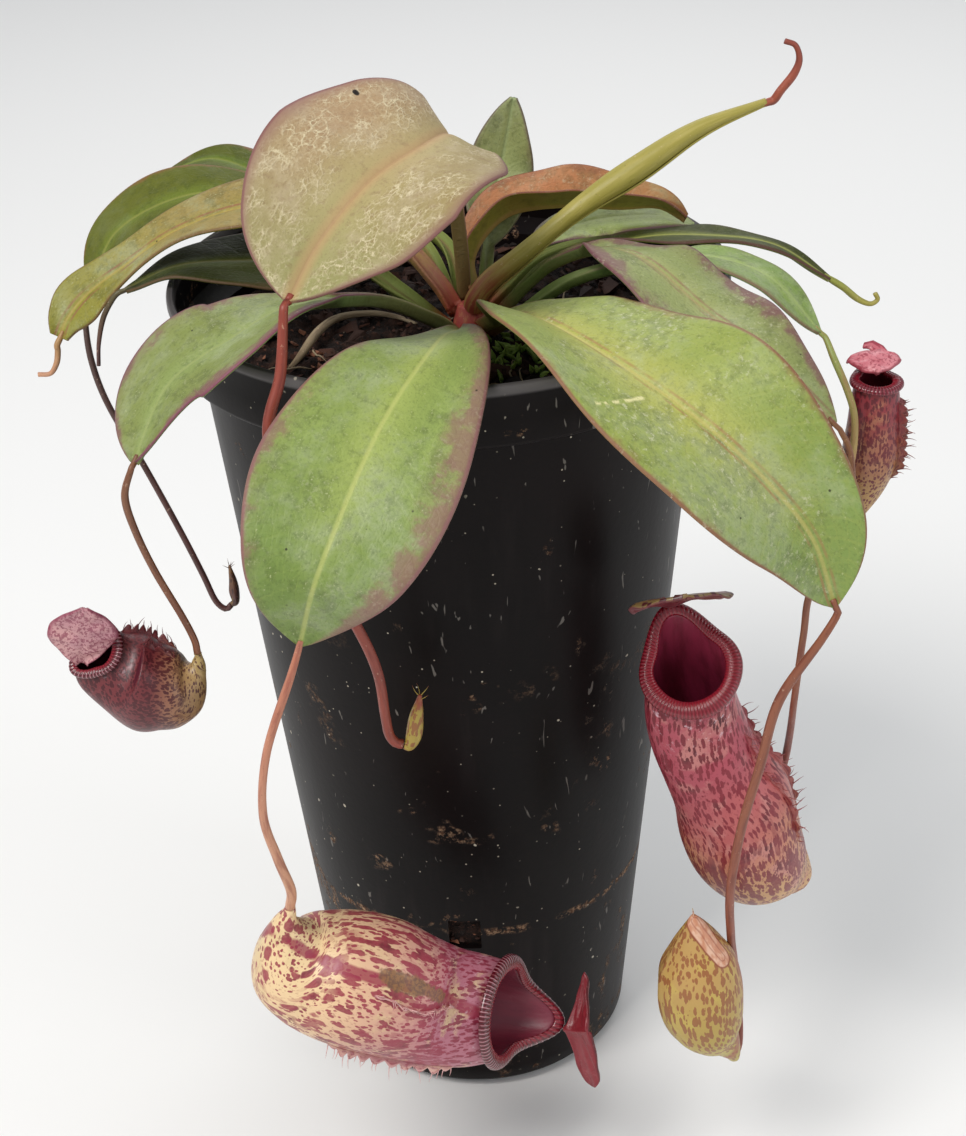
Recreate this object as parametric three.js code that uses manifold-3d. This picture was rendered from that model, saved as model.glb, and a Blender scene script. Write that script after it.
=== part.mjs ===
// A young hanging pitcher plant (Nepenthes) in a deep black nursery pot.
// Millimetres, +Z up. The origin is the middle of the pot's underside, -Y faces the viewer.
import * as THREE from 'three';
import { mergeVertices } from 'three/addons/utils/BufferGeometryUtils.js';
import Module from 'manifold-3d';

const wasm = await Module();
wasm.setup();

// ---------------------------------------------------------------- driving dimensions
const GAP = 0.3; // clearance between pieces that touch
const POT_HEIGHT = 270;
const RIM_RADIUS = 80;
const COLLAR_HEIGHT = 18;
const WALL_TOP_RADIUS = 72.6;
const BASE_RADIUS = 48.6;
const BASE_FILLET = 5;
const POT_WALL = 1.8;
const POT_FACETS = 36;
const SIDE_HOLE = { width: 10, height: 12, z: 71, count: 4, turn: -95 };
const FLOOR_HOLE = { radius: 4.5, ring: 34, count: 6 };

const SOIL_LEVEL = 250;
const SOIL_ROUGHNESS = 1.6;
const STEM = { x: 6, y: 0, radius: 5.5, foot: 240, shoulder: 254, top: 259, topRadius: 3.8 };
const STALK_SEAT = 0.75; // how far outside the stem a leaf stalk begins

const BLADE_EDGE = 0.8; // thickness of a leaf at its margin
const BLADE_MIDDLE = 1.3;
const STALK_THICKNESS = 2.2;

const LIP_SEAT = 0.5; // how far the lip stands off the rim of the cup
const BEND_EASE = 0.55; // how far the rings of a pitcher lean away from the bend of its axis

const COLOURS = {
  pot: '#1e1c1d',
  soil: '#33211b',
  stem: '#a8483e',
  green: '#8fa65a',
  darkGreen: '#5d6f3a',
  bronze: '#a89a72',
  olive: '#8f8a2f',
  blush: '#b0795a',
  youngLeaf: '#a39a3c',
  redTendril: '#9a3f30',
  salmonTendril: '#c98f78',
  brownTendril: '#8b4a3c',
  darkTendril: '#5d3a36',
  cream: '#e3c9a0',
  magenta: '#a04f62',
  lip: '#6d0d20',
  lid: '#8c2c3c',
  pinkLid: '#c2878d',
  plum: '#5b2330',
  tan: '#b08a62',
  mustard: '#b3a13f',
};

const plant = new THREE.Group();

// ---------------------------------------------------------------- small helpers
const vec = (p) => new THREE.Vector3(p[0], p[1], p[2]);
const route = (points) => new THREE.CatmullRomCurve3(points.map(vec), false, 'catmullrom', 0.5);
const clamp01 = (x) => Math.min(1, Math.max(0, x));
const ease = (x) => clamp01(x) ** 2 * (3 - 2 * clamp01(x));
const degrees = (a) => (a * Math.PI) / 180;

// A short list of numbers read as a smooth curve over 0..1.
function graph(values) {
  const curve = new THREE.CatmullRomCurve3(
    values.map((v, i) => new THREE.Vector3(i, v, 0)), false, 'catmullrom', 0.5);
  return (t) => curve.getPoint(clamp01(t)).y;
}

// A repeatable draw between 0 and 1.
function seededDraw(seed) {
  let state = seed;
  return () => {
    state = (state * 16807) % 2147483647;
    return state / 2147483647;
  };
}

// Merges shared vertices, drops triangles without area and turns the faces outwards.
function closed(geometry) {
  geometry.deleteAttribute('normal');
  geometry.deleteAttribute('uv');
  const merged = mergeVertices(geometry, 1e-4);
  const corners = merged.index.array;
  const place = merged.attributes.position;
  const kept = [];
  let volume = 0;
  const [a, b, c] = [new THREE.Vector3(), new THREE.Vector3(), new THREE.Vector3()];
  for (let i = 0; i < corners.length; i += 3) {
    const [p, q, r] = [corners[i], corners[i + 1], corners[i + 2]];
    if (p === q || q === r || r === p) continue;
    kept.push(p, q, r);
    a.fromBufferAttribute(place, p);
    b.fromBufferAttribute(place, q);
    c.fromBufferAttribute(place, r);
    volume += a.dot(b.cross(c));
  }
  if (volume < 0) kept.reverse();
  merged.setIndex(kept);
  return merged;
}

function fromTriangles(points, triangles) {
  const geometry = new THREE.BufferGeometry();
  geometry.setAttribute('position', new THREE.Float32BufferAttribute(points.flatMap((p) => p.toArray()), 3));
  geometry.setIndex(triangles);
  return closed(geometry);
}

function toManifold(geometry) {
  const vertProperties = new Float32Array(geometry.attributes.position.array);
  const triVerts = new Uint32Array(geometry.index.array);
  return new wasm.Manifold(new wasm.Mesh({ numProp: 3, vertProperties, triVerts }));
}

// Keeps the outer skin alone, so a pocket that a union has sealed is filled.
function fromManifold(solid) {
  const skins = solid.decompose().sort((a, b) => b.volume() - a.volume());
  const mesh = skins[0].getMesh();
  const geometry = new THREE.BufferGeometry();
  geometry.setAttribute('position', new THREE.BufferAttribute(new Float32Array(mesh.vertProperties), 3));
  geometry.setIndex(new THREE.BufferAttribute(new Uint32Array(mesh.triVerts), 1));
  return geometry;
}

function place(name, geometry, colour, roughness = 0.6) {
  const material = new THREE.MeshStandardMaterial({ color: colour, roughness, metalness: 0 });
  const mesh = new THREE.Mesh(geometry, material);
  mesh.name = name;
  plant.add(mesh);
  return mesh;
}

// Skins a row of equal rings of points, with a fan over each end.
function loft(rings) {
  const size = rings[0].length;
  const points = rings.flat();
  const triangles = [];
  for (let i = 0; i < rings.length - 1; i += 1) {
    for (let j = 0; j < size; j += 1) {
      const a = i * size + j;
      const b = i * size + ((j + 1) % size);
      triangles.push(a, b, a + size, b, b + size, a + size);
    }
  }
  for (const [start, flip] of [[0, true], [(rings.length - 1) * size, false]]) {
    const middle = new THREE.Vector3();
    for (let j = 0; j < size; j += 1) middle.addScaledVector(points[start + j], 1 / size);
    const hub = points.push(middle) - 1;
    for (let j = 0; j < size; j += 1) {
      const a = start + j;
      const b = start + ((j + 1) % size);
      triangles.push(...(flip ? [hub, b, a] : [hub, a, b]));
    }
  }
  return fromTriangles(points, triangles);
}

// A round stem of changing radius along a route. The frame is carried along without twisting.
function taperedTube(curve, radiusAt, steps, sides) {
  const frames = curve.computeFrenetFrames(steps, false);
  const rings = [];
  for (let i = 0; i <= steps; i += 1) {
    const centre = curve.getPointAt(i / steps);
    const radius = radiusAt(i / steps);
    const ring = [];
    for (let j = 0; j < sides; j += 1) {
      const angle = (2 * Math.PI * j) / sides;
      ring.push(centre.clone()
        .addScaledVector(frames.normals[i], radius * Math.cos(angle))
        .addScaledVector(frames.binormals[i], radius * Math.sin(angle)));
    }
    rings.push(ring);
  }
  return loft(rings);
}

// ---------------------------------------------------------------- pot
function turned(profile, facets) {
  const points = profile.map(([r, z]) => new THREE.Vector2(r, z));
  const geometry = new THREE.LatheGeometry(points, facets);
  geometry.rotateX(Math.PI / 2);
  return closed(geometry);
}

const wallRadiusAt = (z) => BASE_RADIUS
  + ((WALL_TOP_RADIUS - BASE_RADIUS) * z) / (POT_HEIGHT - COLLAR_HEIGHT);

function potProfile() {
  const ledge = POT_HEIGHT - COLLAR_HEIGHT;
  const collar = RIM_RADIUS - 0.6;
  const inner = (z) => wallRadiusAt(z) - POT_WALL;
  return [
    [0, 0],
    [BASE_RADIUS - BASE_FILLET, 0],
    [BASE_RADIUS - BASE_FILLET * 0.3, BASE_FILLET * 0.3],
    [wallRadiusAt(BASE_FILLET), BASE_FILLET],
    [WALL_TOP_RADIUS, ledge],
    [collar - 1, ledge],
    [collar, ledge + 1.2],
    [collar + 0.1, POT_HEIGHT - 3],
    [RIM_RADIUS, POT_HEIGHT - 2.4],
    [RIM_RADIUS, POT_HEIGHT],
    [RIM_RADIUS - 2.2, POT_HEIGHT],
    [collar - POT_WALL, POT_HEIGHT - 2.4],
    [collar - POT_WALL, ledge + 4.5],
    [inner(ledge), ledge + 1.8],
    [inner(BASE_FILLET), BASE_FILLET],
    [inner(0) - BASE_FILLET * 0.5, POT_WALL + 0.4],
    [0, POT_WALL + 0.4],
  ];
}

function pot() {
  let solid = toManifold(turned(potProfile(), POT_FACETS));
  for (let i = 0; i < SIDE_HOLE.count; i += 1) {
    const block = new THREE.BoxGeometry(24, SIDE_HOLE.width, SIDE_HOLE.height);
    block.translate(wallRadiusAt(SIDE_HOLE.z), 0, SIDE_HOLE.z);
    block.rotateZ(degrees(SIDE_HOLE.turn) + (2 * Math.PI * i) / SIDE_HOLE.count);
    solid = solid.subtract(toManifold(closed(block)));
  }
  for (let i = 0; i < FLOOR_HOLE.count; i += 1) {
    const drill = new THREE.CylinderGeometry(FLOOR_HOLE.radius, FLOOR_HOLE.radius, 12, 10);
    drill.rotateX(Math.PI / 2);
    drill.translate(FLOOR_HOLE.ring, 0, 0);
    drill.rotateZ((2 * Math.PI * (i + 0.5)) / FLOOR_HOLE.count);
    solid = solid.subtract(toManifold(closed(drill)));
  }
  return fromManifold(solid);
}
place('pot', pot(), COLOURS.pot, 0.35);

// ---------------------------------------------------------------- potting mix with bark chips
// The rough top of the potting mix, as three crossing swells.
function soilHeight(x, y) {
  return SOIL_LEVEL + SOIL_ROUGHNESS * (0.5 * Math.sin(x * 0.21 + 0.8) * Math.cos(y * 0.17)
    + 0.3 * Math.sin(x * 0.09 - y * 0.13 + 2) + 0.2 * Math.cos(y * 0.37 + x * 0.31));
}

function soil() {
  const innerWall = (z) => wallRadiusAt(z) - POT_WALL - GAP - 0.15;
  const facets = 24;
  const bottom = POT_WALL + 0.4 + GAP;
  const rings = [];
  const ring = (radius, height) => {
    const points = [];
    for (let j = 0; j < facets; j += 1) {
      const angle = (2 * Math.PI * j) / facets;
      const [x, y] = [radius * Math.cos(angle), radius * Math.sin(angle)];
      points.push(new THREE.Vector3(x, y, height === null ? soilHeight(x, y) : height));
    }
    rings.push(points);
  };
  const shrink = Math.cos(Math.PI / POT_FACETS);
  ring(innerWall(0) - BASE_FILLET * 0.5 - 1, bottom);
  ring(innerWall(BASE_FILLET) * shrink, BASE_FILLET + 1);
  ring(innerWall(SOIL_LEVEL - 4) * shrink, SOIL_LEVEL - 4);
  for (const radius of [69.4, 58, 42, 24, 8]) ring(radius * shrink, null);
  let solid = toManifold(loft(rings));
  const draw = seededDraw(41);
  for (let i = 0; i < 26; i += 1) {
    const length = 5 + 9 * draw();
    const chip = new THREE.BoxGeometry(length, 3 + 4 * draw(), 1.8 + 1.6 * draw());
    const distance = 12 + 52 * Math.sqrt(draw());
    const bearing = 2 * Math.PI * draw();
    const [x, y] = [distance * Math.cos(bearing), distance * Math.sin(bearing)];
    chip.rotateX(0.5 * (draw() - 0.5));
    chip.rotateY(0.6 * (draw() - 0.5));
    chip.rotateZ(Math.PI * draw());
    chip.translate(x, y, soilHeight(x, y) + 0.3);
    solid = solid.add(toManifold(closed(chip)));
  }
  const hole = new THREE.CylinderGeometry(STEM.radius + 0.8, STEM.radius + 0.8, 40, 12);
  hole.rotateX(Math.PI / 2);
  hole.translate(STEM.x, STEM.y, STEM.foot - GAP + 20);
  return fromManifold(solid.subtract(toManifold(closed(hole))));
}
place('potting_mix', soil(), COLOURS.soil, 0.95);

// ---------------------------------------------------------------- stem
const stemRadiusAt = (z) => STEM.radius
  - (STEM.radius - STEM.topRadius) * clamp01((z - STEM.shoulder) / (STEM.top - STEM.shoulder));

function stem() {
  const facets = 12;
  const rings = [STEM.foot, STEM.shoulder, STEM.top].map((z) => {
    const ring = [];
    for (let j = 0; j < facets; j += 1) {
      const angle = (2 * Math.PI * j) / facets;
      const radius = stemRadiusAt(z);
      ring.push(new THREE.Vector3(STEM.x + radius * Math.cos(angle), STEM.y + radius * Math.sin(angle), z));
    }
    return ring;
  });
  return loft(rings);
}
place('stem', stem(), COLOURS.stem, 0.6);

// ---------------------------------------------------------------- leaves
// Where a leaf stalk begins, on the side of the stem.
function base(bearing, z) {
  const distance = stemRadiusAt(z) + STALK_SEAT;
  return [STEM.x + distance * Math.cos(degrees(bearing)), STEM.y + distance * Math.sin(degrees(bearing)), z];
}

// Each leaf has the course of its midrib, the ways its upper side faces at base, middle and tip, the
// half width of its blade, where along it the blade is widest (swell), the share that is stalk, the
// angle by which both halves fold up from the midrib, and the height and count of its margin waves. An
// outline lists the half width along the blade as shares of the width, in place of the swell, and a
// twist lists the angles by which the leaf is turned about its midrib.
const LEAVES = [
  { name: 'leaf_front', colour: 'green', stalkWidth: 2.3,
    rib: [base(-97, 252.5), [1, -37, 268], [-5, -67, 276], [-19, -95, 267], [-34, -123, 245],
      [-41, -119, 221]],
    face: [[0.1, -0.3, 1], [-0.2, -0.4, 1], [0.1, -1, 0.4]],
    width: 25, swell: 1.3, stalk: 0.21, fold: 0.02, wave: 0.7, waves: 3, fine: true },
  { name: 'leaf_front_right', colour: 'green', stalkWidth: 2.4,
    rib: [base(-53, 255), [17, -31, 269], [26, -55, 276], [44, -81, 273.5], [66, -101, 262], [85, -108, 241],
      [93, -109, 219]],
    face: [[0, -0.2, 1], [0.4, -0.5, 0.6], [0, -1, 0.4]],
    width: 25.5, swell: 1.14, stalk: 0.07, fold: 0.29, wave: 0.7, waves: 3, fine: true },
  { name: 'leaf_arched_bronze', colour: 'bronze', stalkWidth: 1.8,
    rib: [[4.3, 5.7, 258.7], [4, 5, 273], [3, 2, 289], [2, -4, 304], [2, -16, 315], [-5, -33, 318],
      [-19, -48, 314],
      [-32, -60, 303], [-40, -73, 293]],
    face: [[0.8, 0.9, 0], [0.6, 0.4, 0.6], [0.1, -0.3, 0.9]],
    width: 29.5, swell: 1.35, stalk: 0.3, fold: 0.25, wave: 0.6, waves: 3, fine: true },
  { name: 'leaf_front_left', colour: 'green', stalkWidth: 2.3,
    rib: [base(-142, 252), [-6.5, -18, 264], [-21, -30, 275], [-42, -45, 280], [-56, -53, 276],
      [-74, -60, 266],
      [-83, -76, 252]],
    face: [[0, -0.2, 1], [-0.2, 0.1, 0.9], [-0.6, -0.4, 0.6]],
    width: 21, swell: 1.04, stalk: 0.4, fold: 0.14, wave: 0.6, waves: 3 },
  { name: 'leaf_right', colour: 'green', stalkWidth: 2.4,
    rib: [base(-5, 254.5), [21, -2, 265], [30, -4, 273], [42, -12, 279.5], [53, -31, 282.5], [67, -48, 274.5],
      [81, -63.5, 268.3], [97, -77, 254]],
    face: [[0.2, 0.1, 1], [0.3, -0.4, 0.8], [0.4, -0.6, 0.7]],
    width: 16, swell: 0.92, stalk: 0.27, fold: 0.12, wave: 0.8, waves: 4 },
  { name: 'leaf_right_back', colour: 'green', stalkWidth: 2,
    rib: [base(-36, 252.6), [22, -9, 261.5], [34, -9, 269], [50, -11, 274], [68, -17, 278],
      [87, -25, 274], [101, -33, 260]],
    face: [[0, -0.1, 1], [0.3, 0.1, 0.9], [0.4, -0.3, 0.7]],
    width: 10.5, swell: 1.09, stalk: 0.4, fold: 0.02, wave: 0.5, waves: 3 },
  { name: 'leaf_left', colour: 'olive', stalkWidth: 2.7,
    rib: [base(172, 257.8), [-4, 3, 266], [-15, 9, 277], [-33, 12, 286], [-55.7, 12, 287.2], [-77, 11, 281.4],
      [-94, 9, 271.4], [-104.3, 7, 264.8], [-110.4, 4, 259], [-113.2, 1.5, 254]],
    face: [[0, -0.2, 1], [0, 0, 1], [-0.9, -0.3, 0.6]],
    width: 18, swell: 1.35, stalk: 0.3, fold: 0.2, wave: 0.6, waves: 3, stations: 18,
    outline: [0, 0.75, 0.82, 0.8, 0.7, 0.56, 0.46, 0.44, 0.46, 0.14],
    twist: [0, 0, 0, 0, 0, 0, 0, -6, -30, -60] },
  { name: 'leaf_left_back', colour: 'darkGreen', stalkWidth: 2.2,
    rib: [base(140, 255), [-8, 23, 270], [-27, 37, 275], [-50, 46, 277], [-77, 50, 278], [-101, 51, 267],
      [-111, 46, 249]],
    face: [[0, -0.2, 1], [0, 0.1, 1], [-0.4, -0.4, 0.7]],
    width: 15, swell: 1.24, stalk: 0.37, fold: 0.11, wave: 0.5, waves: 3 },
  { name: 'leaf_left_far', colour: 'darkGreen', stalkWidth: 2,
    rib: [base(106, 253), [-1, 27, 268], [-23, 45, 272], [-46, 65, 272.5], [-70, 74, 280.5],
      [-86.5, 76.5, 276.8]],
    face: [[0, -0.2, 1], [0.1, 0.2, 1], [-0.5, -0.1, 0.6]],
    width: 10, swell: 1.4, stalk: 0.4, fold: 0.12, wave: 0.4, waves: 3 },
  { name: 'leaf_left_low', colour: 'darkGreen', stalkWidth: 2.5,
    rib: [base(179, 252.3), [-14, -2, 265], [-28, 2, 273], [-52, 5, 273.5], [-76, 3, 274], [-92, -1, 269]],
    face: [[0, -0.1, 1], [-0.1, -0.4, 0.7], [-0.3, 0.1, 1.1]],
    width: 13, swell: 0.9, stalk: 0.32, fold: 0.05, wave: 0.4, waves: 3 },
  { name: 'leaf_blush_arched', colour: 'blush', stalkWidth: 1.8,
    rib: [base(70, 258.5), [6, 11, 270], [17, 18, 279.5], [34, 20, 281], [50, 21, 279], [62, 20, 279],
      [70, 18, 275]],
    face: [[-0.6, 0.1, 0.6], [-0.2, -0.2, 1], [0.2, -0.1, 1]],
    width: 11, swell: 1, stalk: 0.12, fold: 0.89, wave: 0.3, waves: 3 },
  { name: 'leaf_back_light', colour: 'green', stalkWidth: 2,
    rib: [base(38, 252), [25, 15, 269], [40, 24, 273], [60, 24, 274.5], [73, 22, 272]],
    face: [[0, 0, 1], [-0.1, -0.2, 1], [0.1, 0, 1]],
    width: 11.5, swell: 1.05, stalk: 0.33, fold: 0.02, wave: 0.4, waves: 3 },
  { name: 'leaf_back_narrow', colour: 'darkGreen', stalkWidth: 1.8,
    rib: [base(20, 258), [28, 8, 270], [50, 5, 275], [73, 5, 275], [94, 5, 271], [110, 2, 261]],
    face: [[0, 0, 1], [0, 0.1, 1], [0.2, 0, 1]],
    width: 7, swell: 0.76, stalk: 0.39, fold: 0.05, wave: 0.3, waves: 3 },
  { name: 'leaf_upright', colour: 'green', stalkWidth: 1.8,
    rib: [base(54, 255), [13, 22, 276], [17, 32, 289], [21, 31, 309]],
    face: [[0, -1, 0.4], [0.2, -1, 0.2], [-0.3, -0.9, 0.3]],
    width: 10, swell: 0.88, stalk: 0.3, fold: 0.27, wave: 0.3, waves: 2 },
];

// Half the width of a leaf at a share t of its length: a tapering stalk under a rounded blade.
function leafHalfWidth(leaf, t) {
  const along = clamp01((t - leaf.stalk) / (1 - leaf.stalk));
  const rounded = along > 0 && along < 1 ? Math.sin(Math.PI * along ** leaf.swell) ** 0.7 : 0;
  const blade = leaf.outline ? Math.max(0, graph(leaf.outline)(along)) : rounded;
  const stalk = leaf.stalkWidth * (1 - along) + 0.9 * along;
  return Math.hypot(stalk, leaf.width * blade);
}

function leafBlade(leaf) {
  const rib = route(leaf.rib);
  const facing = route(leaf.face);
  const twist = graph(leaf.twist ?? [0, 0]);
  const stations = leaf.stations ?? (leaf.fine ? 17 : 13);
  const across = leaf.fine ? [-1, -0.68, -0.34, 0, 0.34, 0.68, 1] : [-1, -0.55, 0, 0.55, 1];
  const rings = [];
  for (let i = 0; i <= stations; i += 1) {
    const t = i / stations;
    const centre = rib.getPointAt(t);
    const ahead = rib.getTangentAt(t);
    const face = facing.getPointAt(t);
    const up = face.addScaledVector(ahead, -face.dot(ahead)).normalize();
    up.applyAxisAngle(ahead, degrees(twist(t)));
    const side = new THREE.Vector3().crossVectors(ahead, up);
    const half = leafHalfWidth(leaf, t);
    const along = clamp01((t - leaf.stalk) / (1 - leaf.stalk));
    const stalkness = 1 - ease(along * 4);
    const top = [];
    const under = [];
    for (const v of across) {
      const ripple = leaf.wave * v * v * ease(half / leaf.width)
        * Math.sin(2 * Math.PI * leaf.waves * t + (v > 0 ? 0 : 1.9));
      const lift = half * Math.abs(v) * Math.sin(leaf.fold) + ripple;
      const point = centre.clone()
        .addScaledVector(side, half * v * Math.cos(leaf.fold))
        .addScaledVector(up, lift);
      const keel = v === 0 ? 0.9 * (1 - t) : 0;
      const sheet = BLADE_EDGE + (BLADE_MIDDLE - BLADE_EDGE) * (1 - Math.abs(v)) + keel;
      const thickness = sheet + (STALK_THICKNESS - sheet) * stalkness * (1 - 0.4 * Math.abs(v));
      top.push(point);
      under.push(point.clone().addScaledVector(up, -thickness));
    }
    rings.push([...top, ...under.reverse()]);
  }
  return bladeSkin(rings, across.length);
}

// Rings run over the top and back along the underside. Both sides are split by the same diagonals, and
// the ends are closed by strips instead of fans, so a wavy blade never crosses itself.
function bladeSkin(rings, width) {
  const size = 2 * width;
  const points = rings.flat();
  const triangles = [];
  for (let i = 0; i < rings.length - 1; i += 1) {
    for (let j = 0; j < size; j += 1) {
      const a = i * size + j;
      const b = i * size + ((j + 1) % size);
      const mirrored = j >= width;
      if (mirrored) triangles.push(a, b, b + size, a, b + size, a + size);
      else triangles.push(a, b, a + size, b, b + size, a + size);
    }
  }
  for (const [start, flip] of [[0, false], [(rings.length - 1) * size, true]]) {
    for (let j = 0; j < width - 1; j += 1) {
      const [a, b] = [start + j, start + j + 1];
      const [c, d] = [start + size - 2 - j, start + size - 1 - j];
      const pair = [a, d, b, b, d, c];
      triangles.push(...(flip ? pair.reverse() : pair));
    }
  }
  return fromTriangles(points, triangles);
}

// Where a midrib ends, which way it runs there and which way is up.
function tipOf(ribPoints, up) {
  const rib = route(ribPoints);
  return { point: rib.getPointAt(1), ahead: rib.getTangentAt(1), up: vec(up).normalize() };
}

const tips = {};
for (const leaf of LEAVES) {
  place(leaf.name, leafBlade(leaf), COLOURS[leaf.colour], 0.5);
  tips[leaf.name] = tipOf(leaf.rib, leaf.face.at(-1));
}

// The youngest leaf is still rolled into a spike, one margin lapping over the other.
const ROLLED = {
  rib: [[7, -3, STEM.top + GAP], [8, -5, 263], [12, -5, 268], [20, -4, 274], [37, 0, 286], [55, 4, 296],
    [72, 8, 305],
    [91, 11, 311]],
  radii: [3.4, 3.5, 3.1, 2.8, 3.3, 4, 3.8, 3, 2, 1.2],
};

function rolledLeaf() {
  const curve = route(ROLLED.rib);
  const steps = 14;
  const sides = 10;
  const lap = 0.22; // how far the outer margin stands over the inner one, as a share of the radius
  const radiusAt = graph(ROLLED.radii);
  const frames = curve.computeFrenetFrames(steps, false);
  const rings = [];
  for (let i = 0; i <= steps; i += 1) {
    const ring = [];
    for (let j = 0; j < sides; j += 1) {
      const angle = (2 * Math.PI * j) / (sides - 1);
      const radius = radiusAt(i / steps) * (1 - (lap * j) / (sides - 1));
      const turn = angle + 2.4 + (j === sides - 1 ? -0.05 : 0);
      ring.push(curve.getPointAt(i / steps)
        .addScaledVector(frames.normals[i], radius * Math.cos(turn))
        .addScaledVector(frames.binormals[i], radius * Math.sin(turn)));
    }
    rings.push(ring);
  }
  return loft(rings);
}
place('leaf_rolled', rolledLeaf(), COLOURS.youngLeaf, 0.45);
tips.leaf_rolled = tipOf(ROLLED.rib, [0, 0, 1]);

// ---------------------------------------------------------------- tendrils
// Each tendril runs on from a leaf's tip through its points; radius at the leaf and at the far end.
const TENDRILS = [
  { name: 'tendril_front', leaf: 'leaf_front', colour: 'salmonTendril', radii: [1.1, 1.4], steps: 14,
    points: [[-44, -119, 212], [-52, -118, 189], [-55, -116, 168], [-53, -112, 150], [-51, -107, 135],
      [-52, -104.5, 127]] },
  { name: 'tendril_arched_bronze', leaf: 'leaf_arched_bronze', colour: 'redTendril', radii: [1.5, 1.4],
    steps: 20,
    points: [[-43, -79, 276], [-47, -84, 262], [-44, -88, 241], [-36, -89, 224], [-28, -89, 206],
      [-24, -87, 191],
      [-23, -84, 175], [-22.4, -82.5, 168], [-20.8, -82, 164.6], [-18.8, -82, 164]] },
  { name: 'tendril_front_right', leaf: 'leaf_front_right', colour: 'brownTendril', radii: [1.3, 1.2],
    steps: 20,
    points: [[90, -110, 210], [80, -109, 191], [76, -108, 170], [72, -106, 148], [70, -103, 124],
      [72, -94, 100],
      [75, -83, 80], [77, -79, 63], [77.4, -82, 55], [76.8, -86.5, 50.5], [75.6, -89.3, 49.5]] },
  { name: 'tendril_right', leaf: 'leaf_right', colour: 'brownTendril', radii: [1, 1.2], steps: 22,
    points: [[101, -81, 245], [101, -82, 225], [93, -79, 206], [92, -76, 189], [91, -73, 166], [93, -60, 148],
      [95, -46, 130], [95, -38, 110], [98, -36, 96], [101, -42, 89.5]] },
  { name: 'tendril_front_left', leaf: 'leaf_front_left', colour: 'brownTendril', radii: [1, 1], steps: 14,
    points: [[-86, -78, 243], [-85, -76, 232], [-82, -72, 217], [-77, -69, 201], [-74.8, -67, 192],
      [-74.5, -66, 187]] },
  { name: 'tendril_left', leaf: 'leaf_left', colour: 'salmonTendril', radii: [0.9, 0.7], steps: 7,
    points: [[-114, 0.5, 250], [-114.8, 0, 246.5], [-117, 0, 243.4], [-120.6, 0, 243.2]] },
  { name: 'tendril_left_back', leaf: 'leaf_left_back', colour: 'darkTendril', radii: [1, 1], steps: 20,
    points: [[-113, 42, 240], [-112, 38, 229], [-108, 34, 216], [-98, 27, 197], [-89, 21, 178],
      [-83, 18, 163],
      [-80, 18, 153], [-77, 18, 149.5], [-75, 18, 151]] },
  { name: 'tendril_left_low', leaf: 'leaf_left_low', colour: 'darkTendril', radii: [0.8, 0.6], steps: 7,
    points: [[-96, -2, 266], [-99, -3, 261], [-101, -4, 254], [-102, -4, 247]] },
  { name: 'tendril_right_back', leaf: 'leaf_right_back', colour: 'salmonTendril', radii: [1, 1.2], steps: 16,
    points: [[104, -38, 254], [107, -42.5, 247], [108.6, -46.5, 241], [108.6, -48.5, 233], [107.6, -49, 224],
      [107.2, -48, 214], [108.2, -46, 208.5], [110.4, -43.4, 206.8]] },
  { name: 'tendril_back_narrow', leaf: 'leaf_back_narrow', colour: 'mustard', radii: [1, 0.7], steps: 9,
    points: [[114, 1, 258], [118, 1, 254.5], [121.5, 0, 253.2], [123.6, 0, 254.4], [122.8, 0, 256.4]] },
  { name: 'tendril_rolled', leaf: 'leaf_rolled', colour: 'redTendril', radii: [1.2, 0.8], steps: 10,
    points: [[95, 11, 314], [98.4, 11, 318.4], [99.8, 11, 322.5], [98.6, 11, 326.4], [95.6, 11, 327.8]] },
];

const TENDRIL_SIDES = 6;
const ends = {};
for (const tendril of TENDRILS) {
  const { point, ahead, up } = tips[tendril.leaf];
  const start = point.clone().addScaledVector(ahead, GAP + 0.1).addScaledVector(up, -0.4);
  const second = start.clone().addScaledVector(ahead, 2);
  const curve = route([start.toArray(), second.toArray(), ...tendril.points]);
  ends[tendril.name] = { point: curve.getPointAt(1), ahead: curve.getTangentAt(1) };
  const geometry = taperedTube(curve, graph(tendril.radii), tendril.steps, TENDRIL_SIDES);
  place(tendril.name, geometry, COLOURS[tendril.colour]);
}

// The axis of a pitcher runs on from the end of its tendril.
function axisFrom(tendrilName, points) {
  const { point, ahead } = ends[tendrilName];
  const start = point.clone().addScaledVector(ahead, GAP + 0.1);
  const second = start.clone().addScaledVector(ahead, 1.5);
  return [start.toArray(), second.toArray(), ...points];
}

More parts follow.
